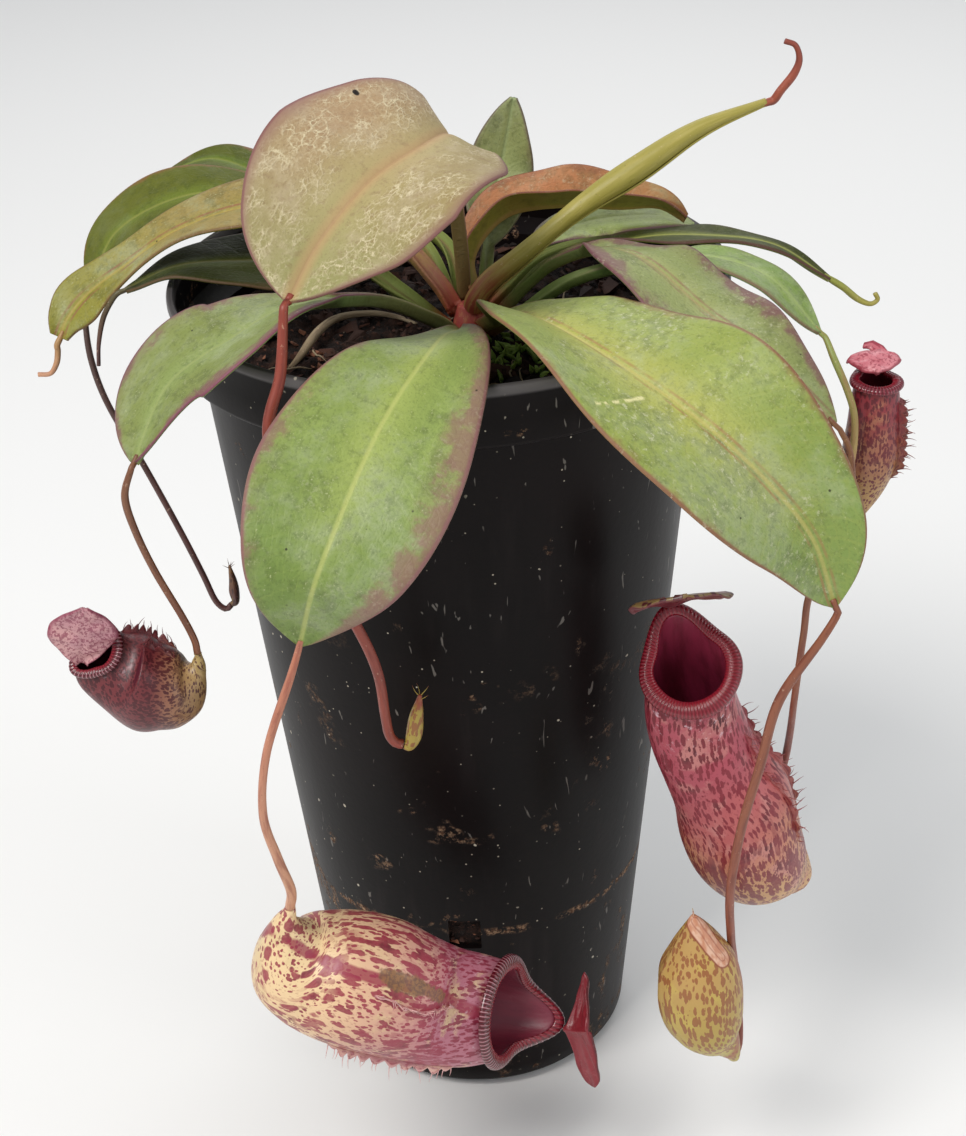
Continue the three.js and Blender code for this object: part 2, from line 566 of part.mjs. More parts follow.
// ---------------------------------------------------------------- pitchers
// Ring frame of a pitcher at a share t of its axis. Past its foot the ring leans from square across the
// axis towards square across the whole pitcher, so rings never cross in the bend at its foot. Towards the
// mouth it tilts into the plane of the mouth and draws out into a neck away from the wings.
function pitcherRing(pitcher, curve, radiusAt, t, sides, inset) {
  const centre = curve.getPointAt(t);
  const whole = curve.getPointAt(1).sub(curve.getPointAt(0)).normalize();
  const ahead = curve.getTangentAt(t).lerp(whole, BEND_EASE * ease(t / 0.15)).normalize();
  const tilt = ease((t - 0.6) / 0.4);
  const normal = ahead.clone().lerp(vec(pitcher.mouth).normalize(), tilt).normalize();
  const front = vec(pitcher.front);
  front.addScaledVector(normal, -front.dot(normal)).normalize();
  const side = new THREE.Vector3().crossVectors(normal, front);
  const ring = [];
  for (let j = 0; j < sides; j += 1) {
    const angle = (2 * Math.PI * j) / sides;
    const fromBack = Math.abs(Math.PI - angle);
    const nearMouth = ease((t - 0.75) / 0.25);
    const crest = nearMouth * Math.exp(-((fromBack / 0.45) ** 2));
    const waist = nearMouth * Math.exp(-(((fromBack - 0.95) / 0.4) ** 2));
    const radius = (radiusAt(t) - inset) * (1 + pitcher.neck * crest - 0.08 * waist);
    ring.push(centre.clone()
      .addScaledVector(front, radius * Math.cos(angle))
      .addScaledVector(side, radius * Math.sin(angle))
      .addScaledVector(normal, pitcher.rise * crest));
  }
  return { ring, normal, centre };
}

// The girths of a pitcher belong to the points of its axis.
function girth(curve, radii) {
  const along = graph(radii);
  return (t) => along(curve.getUtoTmapping(t));
}

// The hollow cup: up its outside, over the edge of the mouth and down its inside.
function pitcherCup(pitcher) {
  const curve = route(pitcher.axis);
  const radiusAt = girth(curve, pitcher.radii);
  const { around, along, wall } = pitcher;
  const rings = [];
  for (let i = 0; i <= along; i += 1) {
    const t = (i / along) ** 0.9;
    rings.push(pitcherRing(pitcher, curve, radiusAt, t, around, 0).ring);
  }
  const depth = 0.2;
  const inside = Math.round(along * 0.6);
  for (let i = inside; i >= 0; i -= 1) {
    const t = depth + (1 - depth) * (i / inside);
    rings.push(pitcherRing(pitcher, curve, radiusAt, t, around, wall).ring);
  }
  return loft(rings);
}

// Two toothed wings run down the front of a pitcher, sunk into its wall.
function pitcherWing(pitcher, bearing) {
  const curve = route(pitcher.axis);
  const radiusAt = girth(curve, pitcher.radii);
  const { from, to, teeth, height } = pitcher.wings;
  const steps = teeth * 2;
  const sides = 36;
  const rings = [];
  for (let i = 0; i <= steps; i += 1) {
    const t = from + ((to - from) * i) / steps;
    const { ring, centre } = pitcherRing(pitcher, curve, radiusAt, t, sides, 0);
    const index = (Math.round((bearing / 360) * sides) + sides) % sides;
    const root = ring[index];
    const out = root.clone().sub(centre).normalize();
    const flank = ring[(index + 1) % sides].clone().sub(ring[(index + sides - 1) % sides]).normalize();
    const rise = i % 2 ? height : height * 0.3;
    const inner = root.clone().addScaledVector(out, -0.6);
    const outer = root.clone().addScaledVector(out, rise);
    const half = 0.42;
    rings.push([
      inner.clone().addScaledVector(flank, half),
      outer.clone().addScaledVector(flank, half * 0.75),
      outer.clone().addScaledVector(flank, -half * 0.75),
      inner.clone().addScaledVector(flank, -half),
    ]);
  }
  return loft(rings);
}

// The hard ribbed lip that rolls outwards round the mouth.
function pitcherLip(pitcher) {
  const curve = route(pitcher.axis);
  const radiusAt = girth(curve, pitcher.radii);
  const ribs = pitcher.ribs;
  const steps = ribs * 2;
  const { ring, normal, centre } = pitcherRing(pitcher, curve, radiusAt, 1, steps, pitcher.wall / 2);
  const size = pitcher.lip;
  const seat = LIP_SEAT;
  const inner = -pitcher.wall / 2;
  const outer = pitcher.wall / 2;
  const section = [
    [inner - 0.35 * size, seat],
    [inner - 0.2 * size, seat + 0.42 * size],
    [outer + 0.25 * size, seat + 0.55 * size],
    [outer + 0.8 * size, seat + 0.25 * size],
    [outer + 0.9 * size, seat - 0.25 * size],
    [outer + 0.35 * size, seat],
  ];
  const rings = [];
  for (let i = 0; i < steps; i += 1) {
    const out = ring[i].clone().sub(centre).normalize();
    const swell = i % 2 ? 0.16 : 0;
    const scale = 1 + (i % 2 ? 0.04 : 0);
    rings.push(section.map(([o, m], k) => ring[i].clone()
      .addScaledVector(out, k > 0 && k < 5 ? o * scale : o)
      .addScaledVector(normal, k > 0 && k < 4 ? m + swell : m)));
  }
  const points = rings.flat();
  const count = section.length;
  const triangles = [];
  for (let i = 0; i < steps; i += 1) {
    for (let j = 0; j < count; j += 1) {
      const a = i * count + j;
      const b = i * count + ((j + 1) % count);
      const c = ((i + 1) % steps) * count + j;
      const d = ((i + 1) % steps) * count + ((j + 1) % count);
      triangles.push(a, b, c, b, d, c);
    }
  }
  return fromTriangles(points, triangles);
}

// Lids are small blades with a stub of a stalk at the neck.
function pitcherLid(lid) {
  return leafBlade({ stalkWidth: 1.6, stalk: 0.04, wave: 0.3, waves: 2, stations: 8, ...lid });
}

// Of each pitcher: the points of its axis from the tendril to the middle of the mouth, with the girths
// there; the way the mouth opens; the side of the mouth away from the lid; how far the neck under the
// lid reaches out (neck, a share) and stands up (rise); wings, lip and lid.
const PITCHERS = [
  { name: 'pitcher_front', colour: 'cream', lipColour: 'lip', lidColour: 'lid', around: 18, along: 13,
    axis: axisFrom('tendril_front', [[-54.5, -103, 119.5], [-56, -102, 112], [-54.5, -101, 105],
      [-49.5, -100, 101],
      [-40.5, -100, 97.5], [-31, -99, 92.5], [-21, -98.5, 86.5], [-11, -98, 81.5], [-2.5, -97, 78.5],
      [6, -96, 76.5]]),
    radii: [1.5, 1.7, 4.2, 9, 13.6, 16.8, 19.2, 19.9, 18.5, 17.2, 16.4, 14.5],
    mouth: [0.89, -0.44, 0.12], front: [-0.41, -0.61, 0.7], neck: 0.3, rise: 9, wall: 1, lip: 2.6, ribs: 14,
    wings: { bearings: [0, 80], from: 0.46, to: 0.88, teeth: 10, height: 2.4 },
    lid: { rib: [[25.2, -89.4, 62.6], [28.6, -92.8, 64.5], [31, -97, 68]],
      face: [[0.79, 0.49, -0.32], [0.79, 0.49, -0.32], [0.79, 0.49, -0.32]],
      width: 17, swell: 1, fold: 0.2 } },
  { name: 'pitcher_right', colour: 'magenta', lipColour: 'lip', lidColour: 'lid', around: 18, along: 13,
    axis: axisFrom('tendril_right', [[98.5, -53, 87.5], [93, -55, 90], [86.5, -58, 96.5], [81.5, -61, 106],
      [78, -63, 117], [75, -64, 129], [69, -65, 141], [65, -66, 152.5], [62.5, -67, 163.5],
      [62, -68, 175.5]]),
    radii: [1.3, 1.6, 5, 9.2, 14.5, 17, 17.8, 17, 14.6, 14.1, 13.2, 12.3],
    mouth: [-0.15, -0.7, 0.7], front: [0.25, -0.7, -0.7], neck: 0.35, rise: 3, wall: 1, lip: 2.6, ribs: 14,
    wings: { bearings: [62, 100], from: 0.38, to: 0.8, teeth: 9, height: 1.8 },
    lid: { rib: [[57.4, -58, 192.2], [59, -68, 199.3], [60, -78, 205.5]],
      face: [[-0.12, 0.6, 1], [-0.12, 0.6, 1], [-0.12, 0.6, 1]], width: 14.5, swell: 1, fold: -0.1 } },
  { name: 'pitcher_far_right', colour: 'tan', lipColour: 'lip', lidColour: 'pinkLid', around: 12, along: 8,
    axis: axisFrom('tendril_right_back', [[114.2, -38, 213.5], [115.6, -37.7, 223.5], [116.2, -37.5, 234],
      [116.2, -37.5, 242.5], [116, -37.5, 246]]),
    radii: [1.2, 1.6, 5.8, 7.8, 7.2, 6.6, 6.1],
    mouth: [0.05, -0.05, 1], front: [0.1, -1, 0], neck: 0.1, rise: 1, wall: 0.9, lip: 1.6, ribs: 10,
    wings: { bearings: [58, 88], from: 0.35, to: 0.9, teeth: 7, height: 2.6 },
    lid: { rib: [[115.6, -28.4, 250.4], [115.7, -31.2, 253.2], [115.8, -35.6, 253.4], [115.8, -41, 251]],
      face: [[0, -0.7, 0.8], [0, -0.5, 1], [0, -0.4, 1]], width: 7.4, swell: 1, fold: -0.2 } },
  { name: 'pitcher_left', colour: 'plum', lipColour: 'lip', lidColour: 'pinkLid', around: 12, along: 10,
    axis: axisFrom('tendril_front_left', [[-75, -66, 179.5], [-77.5, -66, 175.8], [-81, -66, 175],
      [-85.5, -66, 176], [-90.5, -66, 177.5], [-95.5, -66, 181], [-99.5, -66, 185], [-102, -66, 189]]),
    radii: [1.1, 1.2, 4, 8, 10.8, 12, 13.2, 12, 9.4, 6.8],
    mouth: [-0.35, -0.6, 0.7], front: [0.6, 0.2, 0.7], neck: 0.2, rise: 1, wall: 0.9, lip: 1.5, ribs: 10,
    wings: { bearings: [-20, 25], from: 0.4, to: 0.88, teeth: 7, height: 2.6 },
    lid: { rib: [[-106, -69.6, 187], [-104, -72, 197], [-102, -74, 207]],
      face: [[0.2, -0.8, 0.55], [0.2, -0.8, 0.55], [0.2, -0.8, 0.55]], width: 9.2, swell: 1, fold: -0.1 } },
];

for (const pitcher of PITCHERS) {
  let solid = toManifold(pitcherCup(pitcher));
  for (const bearing of pitcher.wings.bearings) solid = solid.add(toManifold(pitcherWing(pitcher, bearing)));
  place(`${pitcher.name}_cup`, fromManifold(solid), COLOURS[pitcher.colour], 0.4);
  place(`${pitcher.name}_lip`, pitcherLip(pitcher), COLOURS[pitcher.lipColour], 0.25);
  place(`${pitcher.name}_lid`, pitcherLid(pitcher.lid), COLOURS[pitcher.lidColour], 0.45);
}

// ---------------------------------------------------------------- unopened pitchers
// Young pitchers are closed pods, the lid still sealing the mouth. Their girths, too, belong to the points
// of the axis.
const YOUNG = [
  { name: 'young_pitcher_right', colour: 'mustard', sides: 14, steps: 14,
    axis: axisFrom('tendril_front_right', [[73.6, -92.4, 53], [71.1, -93.4, 58], [68, -94.3, 62.7],
      [65.6, -95.3, 68.6], [63.9, -95.8, 76.2], [63.2, -95.8, 84], [62.9, -95.8, 91.7], [62.2, -95.8, 98.6],
      [61.5, -96.3, 104.6], [60.7, -96.8, 109.9]]),
    radii: [1.2, 1.5, 2.8, 5, 7.9, 10.5, 11.8, 11.9, 10.5, 7.2, 4, 0.8] },
  { name: 'young_pitcher_front', colour: 'mustard', sides: 8, steps: 8,
    axis: axisFrom('tendril_arched_bronze', [[-15.6, -82, 167], [-14.6, -82, 173], [-13.2, -82, 180]]),
    radii: [1.3, 1.6, 2.3, 2, 0.5] },
  { name: 'young_pitcher_left', colour: 'darkTendril', sides: 8, steps: 6,
    axis: axisFrom('tendril_left_back', [[-73.6, 18, 156], [-73.6, 18, 160], [-74.2, 18, 165.5]]),
    radii: [1, 1.2, 1.7, 1.3, 0.4] },
];
for (const pod of YOUNG) {
  const curve = route(pod.axis);
  const geometry = taperedTube(curve, girth(curve, pod.radii), pod.steps, pod.sides);
  place(pod.name, geometry, COLOURS[pod.colour], 0.45);
}

export default plant;
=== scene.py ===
"""A young hanging pitcher plant in a deep black nursery pot, on a pale floor in soft studio light."""

import math

import bmesh
import bpy
import numpy as np
from mathutils import Matrix, Vector


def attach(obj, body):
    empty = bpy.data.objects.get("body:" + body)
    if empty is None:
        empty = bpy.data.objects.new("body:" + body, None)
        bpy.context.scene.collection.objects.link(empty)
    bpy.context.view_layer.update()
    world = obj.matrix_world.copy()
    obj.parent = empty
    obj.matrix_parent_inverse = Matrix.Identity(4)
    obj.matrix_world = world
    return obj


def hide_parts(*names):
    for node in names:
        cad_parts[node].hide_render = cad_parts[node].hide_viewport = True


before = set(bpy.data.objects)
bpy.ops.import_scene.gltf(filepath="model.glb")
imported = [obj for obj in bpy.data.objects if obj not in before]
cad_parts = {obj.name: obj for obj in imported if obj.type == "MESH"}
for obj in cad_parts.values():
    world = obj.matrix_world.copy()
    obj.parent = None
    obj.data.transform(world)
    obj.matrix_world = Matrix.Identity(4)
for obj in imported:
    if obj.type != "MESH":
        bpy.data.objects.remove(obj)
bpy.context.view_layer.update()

MM = 0.001  # lengths are in millimetres until a piece is made, and in metres in the looks


# ------------------------------------------------------------------ curves
def unit(v):
    """Ways, made one long."""
    return v / np.maximum(np.linalg.norm(v, axis=-1, keepdims=True), 1e-12)


def ease(x):
    """0 to 1 with a soft start and end."""
    x = np.clip(x, 0, 1)
    return x * x * (3 - 2 * x)


def steps(way, far):
    """As many steps along a way as there are numbers in far."""
    return way * far[..., None]


def smooth_course(points, u):
    """Points, or plain numbers, read as a smooth curve over 0 to 1."""
    rows = np.asarray(points, float)
    single = rows.ndim == 1
    if single:
        rows = rows[:, None]
    x = np.clip(np.asarray(u, float), 0, 1) * (len(rows) - 1)
    i = np.minimum(x.astype(int), len(rows) - 2)
    w = (x - i)[..., None]
    longer = np.vstack([2 * rows[0] - rows[1], rows, 2 * rows[-1] - rows[-2]])
    a, b, c, d = longer[i], longer[i + 1], longer[i + 2], longer[i + 3]
    start, end = 0.5 * (c - a), 0.5 * (d - b)
    out = (2 * b - 2 * c + start + end) * w**3 + (3 * c - 3 * b - 2 * start - end) * w**2 + start * w + b
    return out[..., 0] if single else out


class Route:
    """A smooth course through points, walked by the share of its length."""

    def __init__(self, points):
        self.points = np.asarray(points, float)
        self.shares = np.linspace(0, 1, 201)
        steps = np.linalg.norm(np.diff(smooth_course(self.points, self.shares), axis=0), axis=1)
        self.walked = np.concatenate([[0], np.cumsum(steps)])
        self.length = self.walked[-1]

    def raw(self, t):
        return np.interp(np.asarray(t, float) * self.length, self.walked, self.shares)

    def at(self, t):
        return smooth_course(self.points, self.raw(t))

    def ahead(self, t):
        u = self.raw(t)
        before = smooth_course(self.points, np.clip(u - 1e-3, 0, 1))
        return unit(smooth_course(self.points, np.clip(u + 1e-3, 0, 1)) - before)


def end_of(course):
    """The last point of a course and the way it heads there."""
    last = np.array([1.0])
    return course.at(last)[0], course.ahead(last)[0]


def carried_frames(ahead):
    """Two directions square to a course, carried along it without twisting."""
    first = np.cross(ahead[0], [0, 0, 1])
    if np.linalg.norm(first) < 0.2:
        first = np.cross(ahead[0], [1, 0, 0])
    rows = [first / np.linalg.norm(first)]
    for direction in ahead[1:]:
        turned = rows[-1] - direction * np.dot(rows[-1], direction)
        rows.append(turned / np.linalg.norm(turned))
    first = np.array(rows)
    return first, np.cross(ahead, first)


# ------------------------------------------------------------------ pieces
class Shape:
    """The points, faces and surface readings of one piece, gathered part by part."""

    def __init__(self):
        self.points, self.faces, self.readings, self.count = [], [], [], 0

    def add(self, points, faces, **readings):
        points = np.asarray(points, float).reshape(-1, 3)
        self.points.append(points)
        self.faces += [[i + self.count for i in face] for face in faces]
        self.readings.append({k: np.asarray(v, float) for k, v in readings.items()})
        self.count += len(points)

    def grid(self, points, wrap=False, wrap_rows=False, ends=(), **readings):
        """A net of points, rows by columns. ends names the rows, 0 or -1, that a fan closes."""
        rows, cols = points.shape[:2]
        index = np.arange(rows * cols).reshape(rows, cols)
        if wrap:
            index = np.hstack([index, index[:, :1]])
        if wrap_rows:
            index = np.vstack([index, index[:1]])
        faces = np.stack([index[:-1, :-1], index[:-1, 1:], index[1:, 1:], index[1:, :-1]], -1).reshape(-1, 4)
        faces = faces.tolist()
        flat = points.reshape(-1, 3)
        kept = {}
        for key, value in readings.items():
            value = np.asarray(value, float)
            wide = value.shape[-1] == 3 and value.ndim == 3
            kept[key] = value.reshape(-1, 3) if wide else np.broadcast_to(value, (rows, cols)).reshape(-1)
        for row in ends:
            ring = index[row, :cols]
            hub = len(flat)
            flat = np.vstack([flat, points[row].mean(0)])
            for key, value in kept.items():
                kept[key] = np.concatenate([value, value[ring].mean(0, keepdims=True)])
            pairs = zip(ring, np.roll(ring, -1))
            faces += [[hub, int(b), int(a)] if row == 0 else [hub, int(a), int(b)] for a, b in pairs]
        self.add(flat, faces, **kept)


def piece(name, shape, look, node, slot, smooth=True):
    """Makes the object of a shape in metres, which stands for a node of the part."""
    mesh = bpy.data.meshes.new(name)
    points = np.vstack(shape.points)
    mesh.from_pydata((points * MM).tolist(), [], shape.faces)
    for key in sorted({k for readings in shape.readings for k in readings}):
        wide = any(readings[key].ndim == 2 for readings in shape.readings if key in readings)
        parts = []
        for part, readings in zip(shape.points, shape.readings):
            blank = np.zeros((len(part), 3) if wide else len(part))
            parts.append(readings.get(key, blank))
        store = mesh.attributes.new(key, "FLOAT_VECTOR" if wide else "FLOAT", "POINT")
        store.data.foreach_set("vector" if wide else "value", np.concatenate(parts).ravel())
    mesh.polygons.foreach_set("use_smooth", [smooth] * len(mesh.polygons))
    mesh.materials.append(look)
    thing = bpy.data.objects.new(name, mesh)
    bpy.context.scene.collection.objects.link(thing)
    work = bmesh.new()
    work.from_mesh(mesh)
    bmesh.ops.recalc_face_normals(work, faces=work.faces)
    work.to_mesh(mesh)
    work.free()
    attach(thing, "root")
    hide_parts(node)
    return thing


# ------------------------------------------------------------------ looks
def tint(text):
    """A colour written as #rrggbb, as the light it gives back."""
    parts = [int(text[i : i + 2], 16) / 255 for i in (1, 3, 5)]
    return tuple(c / 12.92 if c <= 0.04045 else ((c + 0.055) / 1.055) ** 2.4 for c in parts) + (1.0,)


class Reading:
    """A value that varies over a surface; sums and products of readings build the look's nodes."""

    def __init__(self, look, socket):
        self.look, self.socket = look, socket

    def __add__(self, other):
        return self.look.maths("ADD", self, other)

    def __sub__(self, other):
        return self.look.maths("SUBTRACT", self, other)

    def __mul__(self, other):
        return self.look.maths("MULTIPLY", self, other)

    def __truediv__(self, other):
        return self.look.maths("DIVIDE", self, other)

    def __rsub__(self, other):
        return self.look.maths("SUBTRACT", other, self)

    def coat(self, colour, share):
        """This colour with another over it."""
        return self.look.blend(self, colour, share)

    def size(self):
        return self.look.maths("ABSOLUTE", self)

    def wave(self):
        return self.look.maths("SINE", self)

    def over(self, low, high):
        """0 below low, 1 above high, smooth in between."""
        settings = {"interpolation_type": "SMOOTHSTEP"}
        flip = low > high
        inputs = {"Value": self, "From Min": min(low, high), "From Max": max(low, high)}
        step = self.look.node("ShaderNodeMapRange", settings, inputs)
        return 1.0 - step if flip else step

    __radd__ = __add__
    __rmul__ = __mul__


class Look:
    """A material, built from readings."""

    def __init__(self, name):
        self.material = bpy.data.materials.new(name)
        self.material.use_nodes = True
        self.tree = self.material.node_tree
        self.tree.nodes.clear()
        self.known = {}

    def feed(self, socket, value):
        """Links a reading to a socket, or sets it to a number, a row of numbers or a #rrggbb colour."""
        if isinstance(value, Reading):
            self.tree.links.new(value.socket, socket)
        else:
            socket.default_value = tint(value) if isinstance(value, str) else value

    def node(self, kind, settings=None, inputs=None, out=0):
        made = self.tree.nodes.new(kind)
        for key, value in (settings or {}).items():
            setattr(made, key, value)
        for key, value in (inputs or {}).items():
            self.feed(made.inputs[key], value)
        return Reading(self, made.outputs[out])

    def maths(self, operation, *values):
        return self.node("ShaderNodeMath", {"operation": operation}, dict(enumerate(values)))

    def blend(self, first, second, share):
        """The first colour with the second over it."""
        settings = {"data_type": "RGBA", "clamp_factor": True}
        return self.node("ShaderNodeMix", settings, {0: share, 6: first, 7: second}, out=2)

    def stored(self, name, out=2):
        """A reading kept on the points of the piece."""
        if name not in self.known:
            self.known[name] = self.node("ShaderNodeAttribute", {"attribute_name": name}, out=out)
        return self.known[name]

    def flow(self):
        return self.stored("flow", out=1)

    def place(self):
        if "place" not in self.known:
            self.known["place"] = self.node("ShaderNodeTexCoord", out=3)
        return self.known["place"]

    def vector(self, operation, first, second, out=0):
        return self.node("ShaderNodeVectorMath", {"operation": operation}, {0: first, 1: second}, out=out)

    def scaled(self, where, *by):
        return self.vector("MULTIPLY", where, by)

    def noise(self, where, scale, detail=3.0, rough=0.5, bend=0.0):
        inputs = {"Vector": where, "Scale": scale, "Detail": detail, "Roughness": rough, "Distortion": bend}
        return self.node("ShaderNodeTexNoise", None, inputs)

    def cells(self, where, scale, feature="F1"):
        return self.node("ShaderNodeTexVoronoi", {"feature": feature}, {"Vector": where, "Scale": scale})

    def part_of(self, where, axis):
        return self.node("ShaderNodeSeparateXYZ", None, {0: where}, out="XYZ".index(axis))

    def done(self, colour, rough, height=None, lift=0.2, depth=0.001, **fixed):
        """Closes the look with one surface shader; height raises small relief on it."""
        shader = self.tree.nodes.new("ShaderNodeBsdfPrincipled")
        self.feed(shader.inputs["Base Color"], colour)
        self.feed(shader.inputs["Roughness"], rough)
        for key, value in fixed.items():
            self.feed(shader.inputs[key.replace("_", " ")], value)
        if height is not None:
            inputs = {"Strength": lift, "Distance": depth, "Height": height}
            self.feed(shader.inputs["Normal"], self.node("ShaderNodeBump", None, inputs))
        end = self.tree.nodes.new("ShaderNodeOutputMaterial")
        self.tree.links.new(shader.outputs[0], end.inputs["Surface"])
        return self.material


# ------------------------------------------------------------------ courses and sizes
# Each leaf: the course of its midrib, the ways its upper side faces from base to tip, half its width, where
# it is widest, the share that is stalk, how far the halves fold up, and the waves of its margin. An outline
# gives its half widths instead, and a twist the degrees by which it turns about its midrib.
LEAVES = {
    "leaf_front": dict(
        rib=[(5.24, -6.2, 252.5), (1, -37, 268), (-5, -67, 276), (-19, -95, 267), (-34, -123, 245),
             (-41, -119, 221)],
        face=[(0.1, -0.3, 1), (-0.2, -0.4, 1), (0.1, -1, 0.4)], width=25, swell=1.3, stalk=0.21, fold=0.02,
        wave=0.7, waves=3, stalk_width=2.3),
    "leaf_front_right": dict(
        rib=[(9.56, -4.72, 255), (17, -31, 269), (26, -55, 276), (44, -81, 273.5), (66, -101, 262),
             (85, -108, 241), (93, -109, 219)],
        face=[(0, -0.2, 1), (0.4, -0.5, 0.6), (0, -1, 0.4)], width=25.5, swell=1.14, stalk=0.07, fold=0.29,
        wave=0.7, waves=3, stalk_width=2.4),
    "leaf_arched_bronze": dict(
        rib=[(4.3, 5.7, 258.7), (4, 5, 273), (3, 2, 289), (2, -4, 304), (2, -16, 315), (-5, -33, 318),
             (-19, -48, 314), (-32, -60, 303), (-40, -73, 293)],
        face=[(0.8, 0.9, 0), (0.6, 0.4, 0.6), (0.1, -0.3, 0.9)], width=29.5, swell=1.35, stalk=0.3,
        fold=0.25, wave=0.6, waves=3, stalk_width=1.8),
    "leaf_front_left": dict(
        rib=[(1.07, -3.85, 252), (-6.5, -18, 264), (-21, -30, 275), (-42, -45, 280), (-56, -53, 276),
             (-74, -60, 266), (-83, -76, 252)],
        face=[(0, -0.2, 1), (-0.2, 0.1, 0.9), (-0.6, -0.4, 0.6)], width=21, swell=1.04, stalk=0.4,
        fold=0.14, wave=0.6, waves=3, stalk_width=2.3),
    "leaf_right": dict(
        rib=[(12.06, -0.53, 254.5), (21, -2, 265), (30, -4, 273), (42, -12, 279.5), (53, -31, 282.5),
             (67, -48, 274.5), (81, -63.5, 268.3), (97, -77, 254)],
        face=[(0.2, 0.1, 1), (0.3, -0.4, 0.8), (0.4, -0.6, 0.7)], width=16, swell=0.92, stalk=0.27,
        fold=0.12, wave=0.8, waves=4, stalk_width=2.4),
    "leaf_right_back": dict(
        rib=[(11.06, -3.67, 252.6), (22, -9, 261.5), (34, -9, 269), (50, -11, 274), (68, -17, 278),
             (87, -25, 274), (101, -33, 260)],
        face=[(0, -0.1, 1), (0.3, 0.1, 0.9), (0.4, -0.3, 0.7)], width=10.5, swell=1.09, stalk=0.4,
        fold=0.02, wave=0.5, waves=3, stalk_width=2),
    "leaf_left": dict(
        rib=[(1.09, 0.69, 257.8), (-4, 3, 266), (-15, 9, 277), (-33, 12, 286), (-55.7, 12, 287.2),
             (-77, 11, 281.4), (-94, 9, 271.4), (-104.3, 7, 264.8), (-110.4, 4, 259), (-113.2, 1.5, 254)],
        face=[(0, -0.2, 1), (0, 0, 1), (-0.9, -0.3, 0.6)], width=18, swell=1.35, stalk=0.3, fold=0.2,
        wave=0.6, waves=3, stalk_width=2.7, outline=[0, 0.75, 0.82, 0.8, 0.7, 0.56, 0.46, 0.44, 0.46, 0.14],
        twist=[0, 0, 0, 0, 0, 0, 0, -6, -30, -60]),
    "leaf_left_back": dict(
        rib=[(1.47, 3.8, 255), (-8, 23, 270), (-27, 37, 275), (-50, 46, 277), (-77, 50, 278),
             (-101, 51, 267), (-111, 46, 249)],
        face=[(0, -0.2, 1), (0, 0.1, 1), (-0.4, -0.4, 0.7)], width=15, swell=1.24, stalk=0.37, fold=0.11,
        wave=0.5, waves=3, stalk_width=2.2),
    "leaf_left_far": dict(
        rib=[(4.28, 6.01, 253), (-1, 27, 268), (-23, 45, 272), (-46, 65, 272.5), (-70, 74, 280.5),
             (-86.5, 76.5, 276.8)],
        face=[(0, -0.2, 1), (0.1, 0.2, 1), (-0.5, -0.1, 0.6)], width=10, swell=1.4, stalk=0.4, fold=0.12,
        wave=0.4, waves=3, stalk_width=2),
    "leaf_left_low": dict(
        rib=[(-0.25, 0.11, 252.3), (-14, -2, 265), (-28, 2, 273), (-52, 5, 273.5), (-76, 3, 274),
             (-92, -1, 269)],
        face=[(0, -0.1, 1), (-0.1, -0.4, 0.7), (-0.3, 0.1, 1.1)], width=13, swell=0.9, stalk=0.32,
        fold=0.05, wave=0.4, waves=3, stalk_width=2.5),
    "leaf_blush_arched": dict(
        rib=[(7.61, 4.44, 258.5), (6, 11, 270), (17, 18, 279.5), (34, 20, 281), (50, 21, 279),
             (62, 20, 279), (70, 18, 275)],
        face=[(-0.6, 0.1, 0.6), (-0.2, -0.2, 1), (0.2, -0.1, 1)], width=11, swell=1, stalk=0.12, fold=0.89,
        wave=0.3, waves=3, stalk_width=1.8),
    "leaf_back_light": dict(
        rib=[(10.93, 3.85, 252), (25, 15, 269), (40, 24, 273), (60, 24, 274.5), (73, 22, 272)],
        face=[(0, 0, 1), (-0.1, -0.2, 1), (0.1, 0, 1)], width=11.5, swell=1.05, stalk=0.33, fold=0.02,
        wave=0.4, waves=3, stalk_width=2),
    "leaf_back_narrow": dict(
        rib=[(10.6, 1.67, 258), (28, 8, 270), (50, 5, 275), (73, 5, 275), (94, 5, 271), (110, 2, 261)],
        face=[(0, 0, 1), (0, 0.1, 1), (0.2, 0, 1)], width=7, swell=0.76, stalk=0.39, fold=0.05, wave=0.3,
        waves=3, stalk_width=1.8),
    "leaf_upright": dict(
        rib=[(9.47, 4.78, 255), (13, 22, 276), (17, 32, 289), (21, 31, 309)],
        face=[(0, -1, 0.4), (0.2, -1, 0.2), (-0.3, -0.9, 0.3)], width=10, swell=0.88, stalk=0.3, fold=0.27,
        wave=0.3, waves=2, stalk_width=1.8),
}

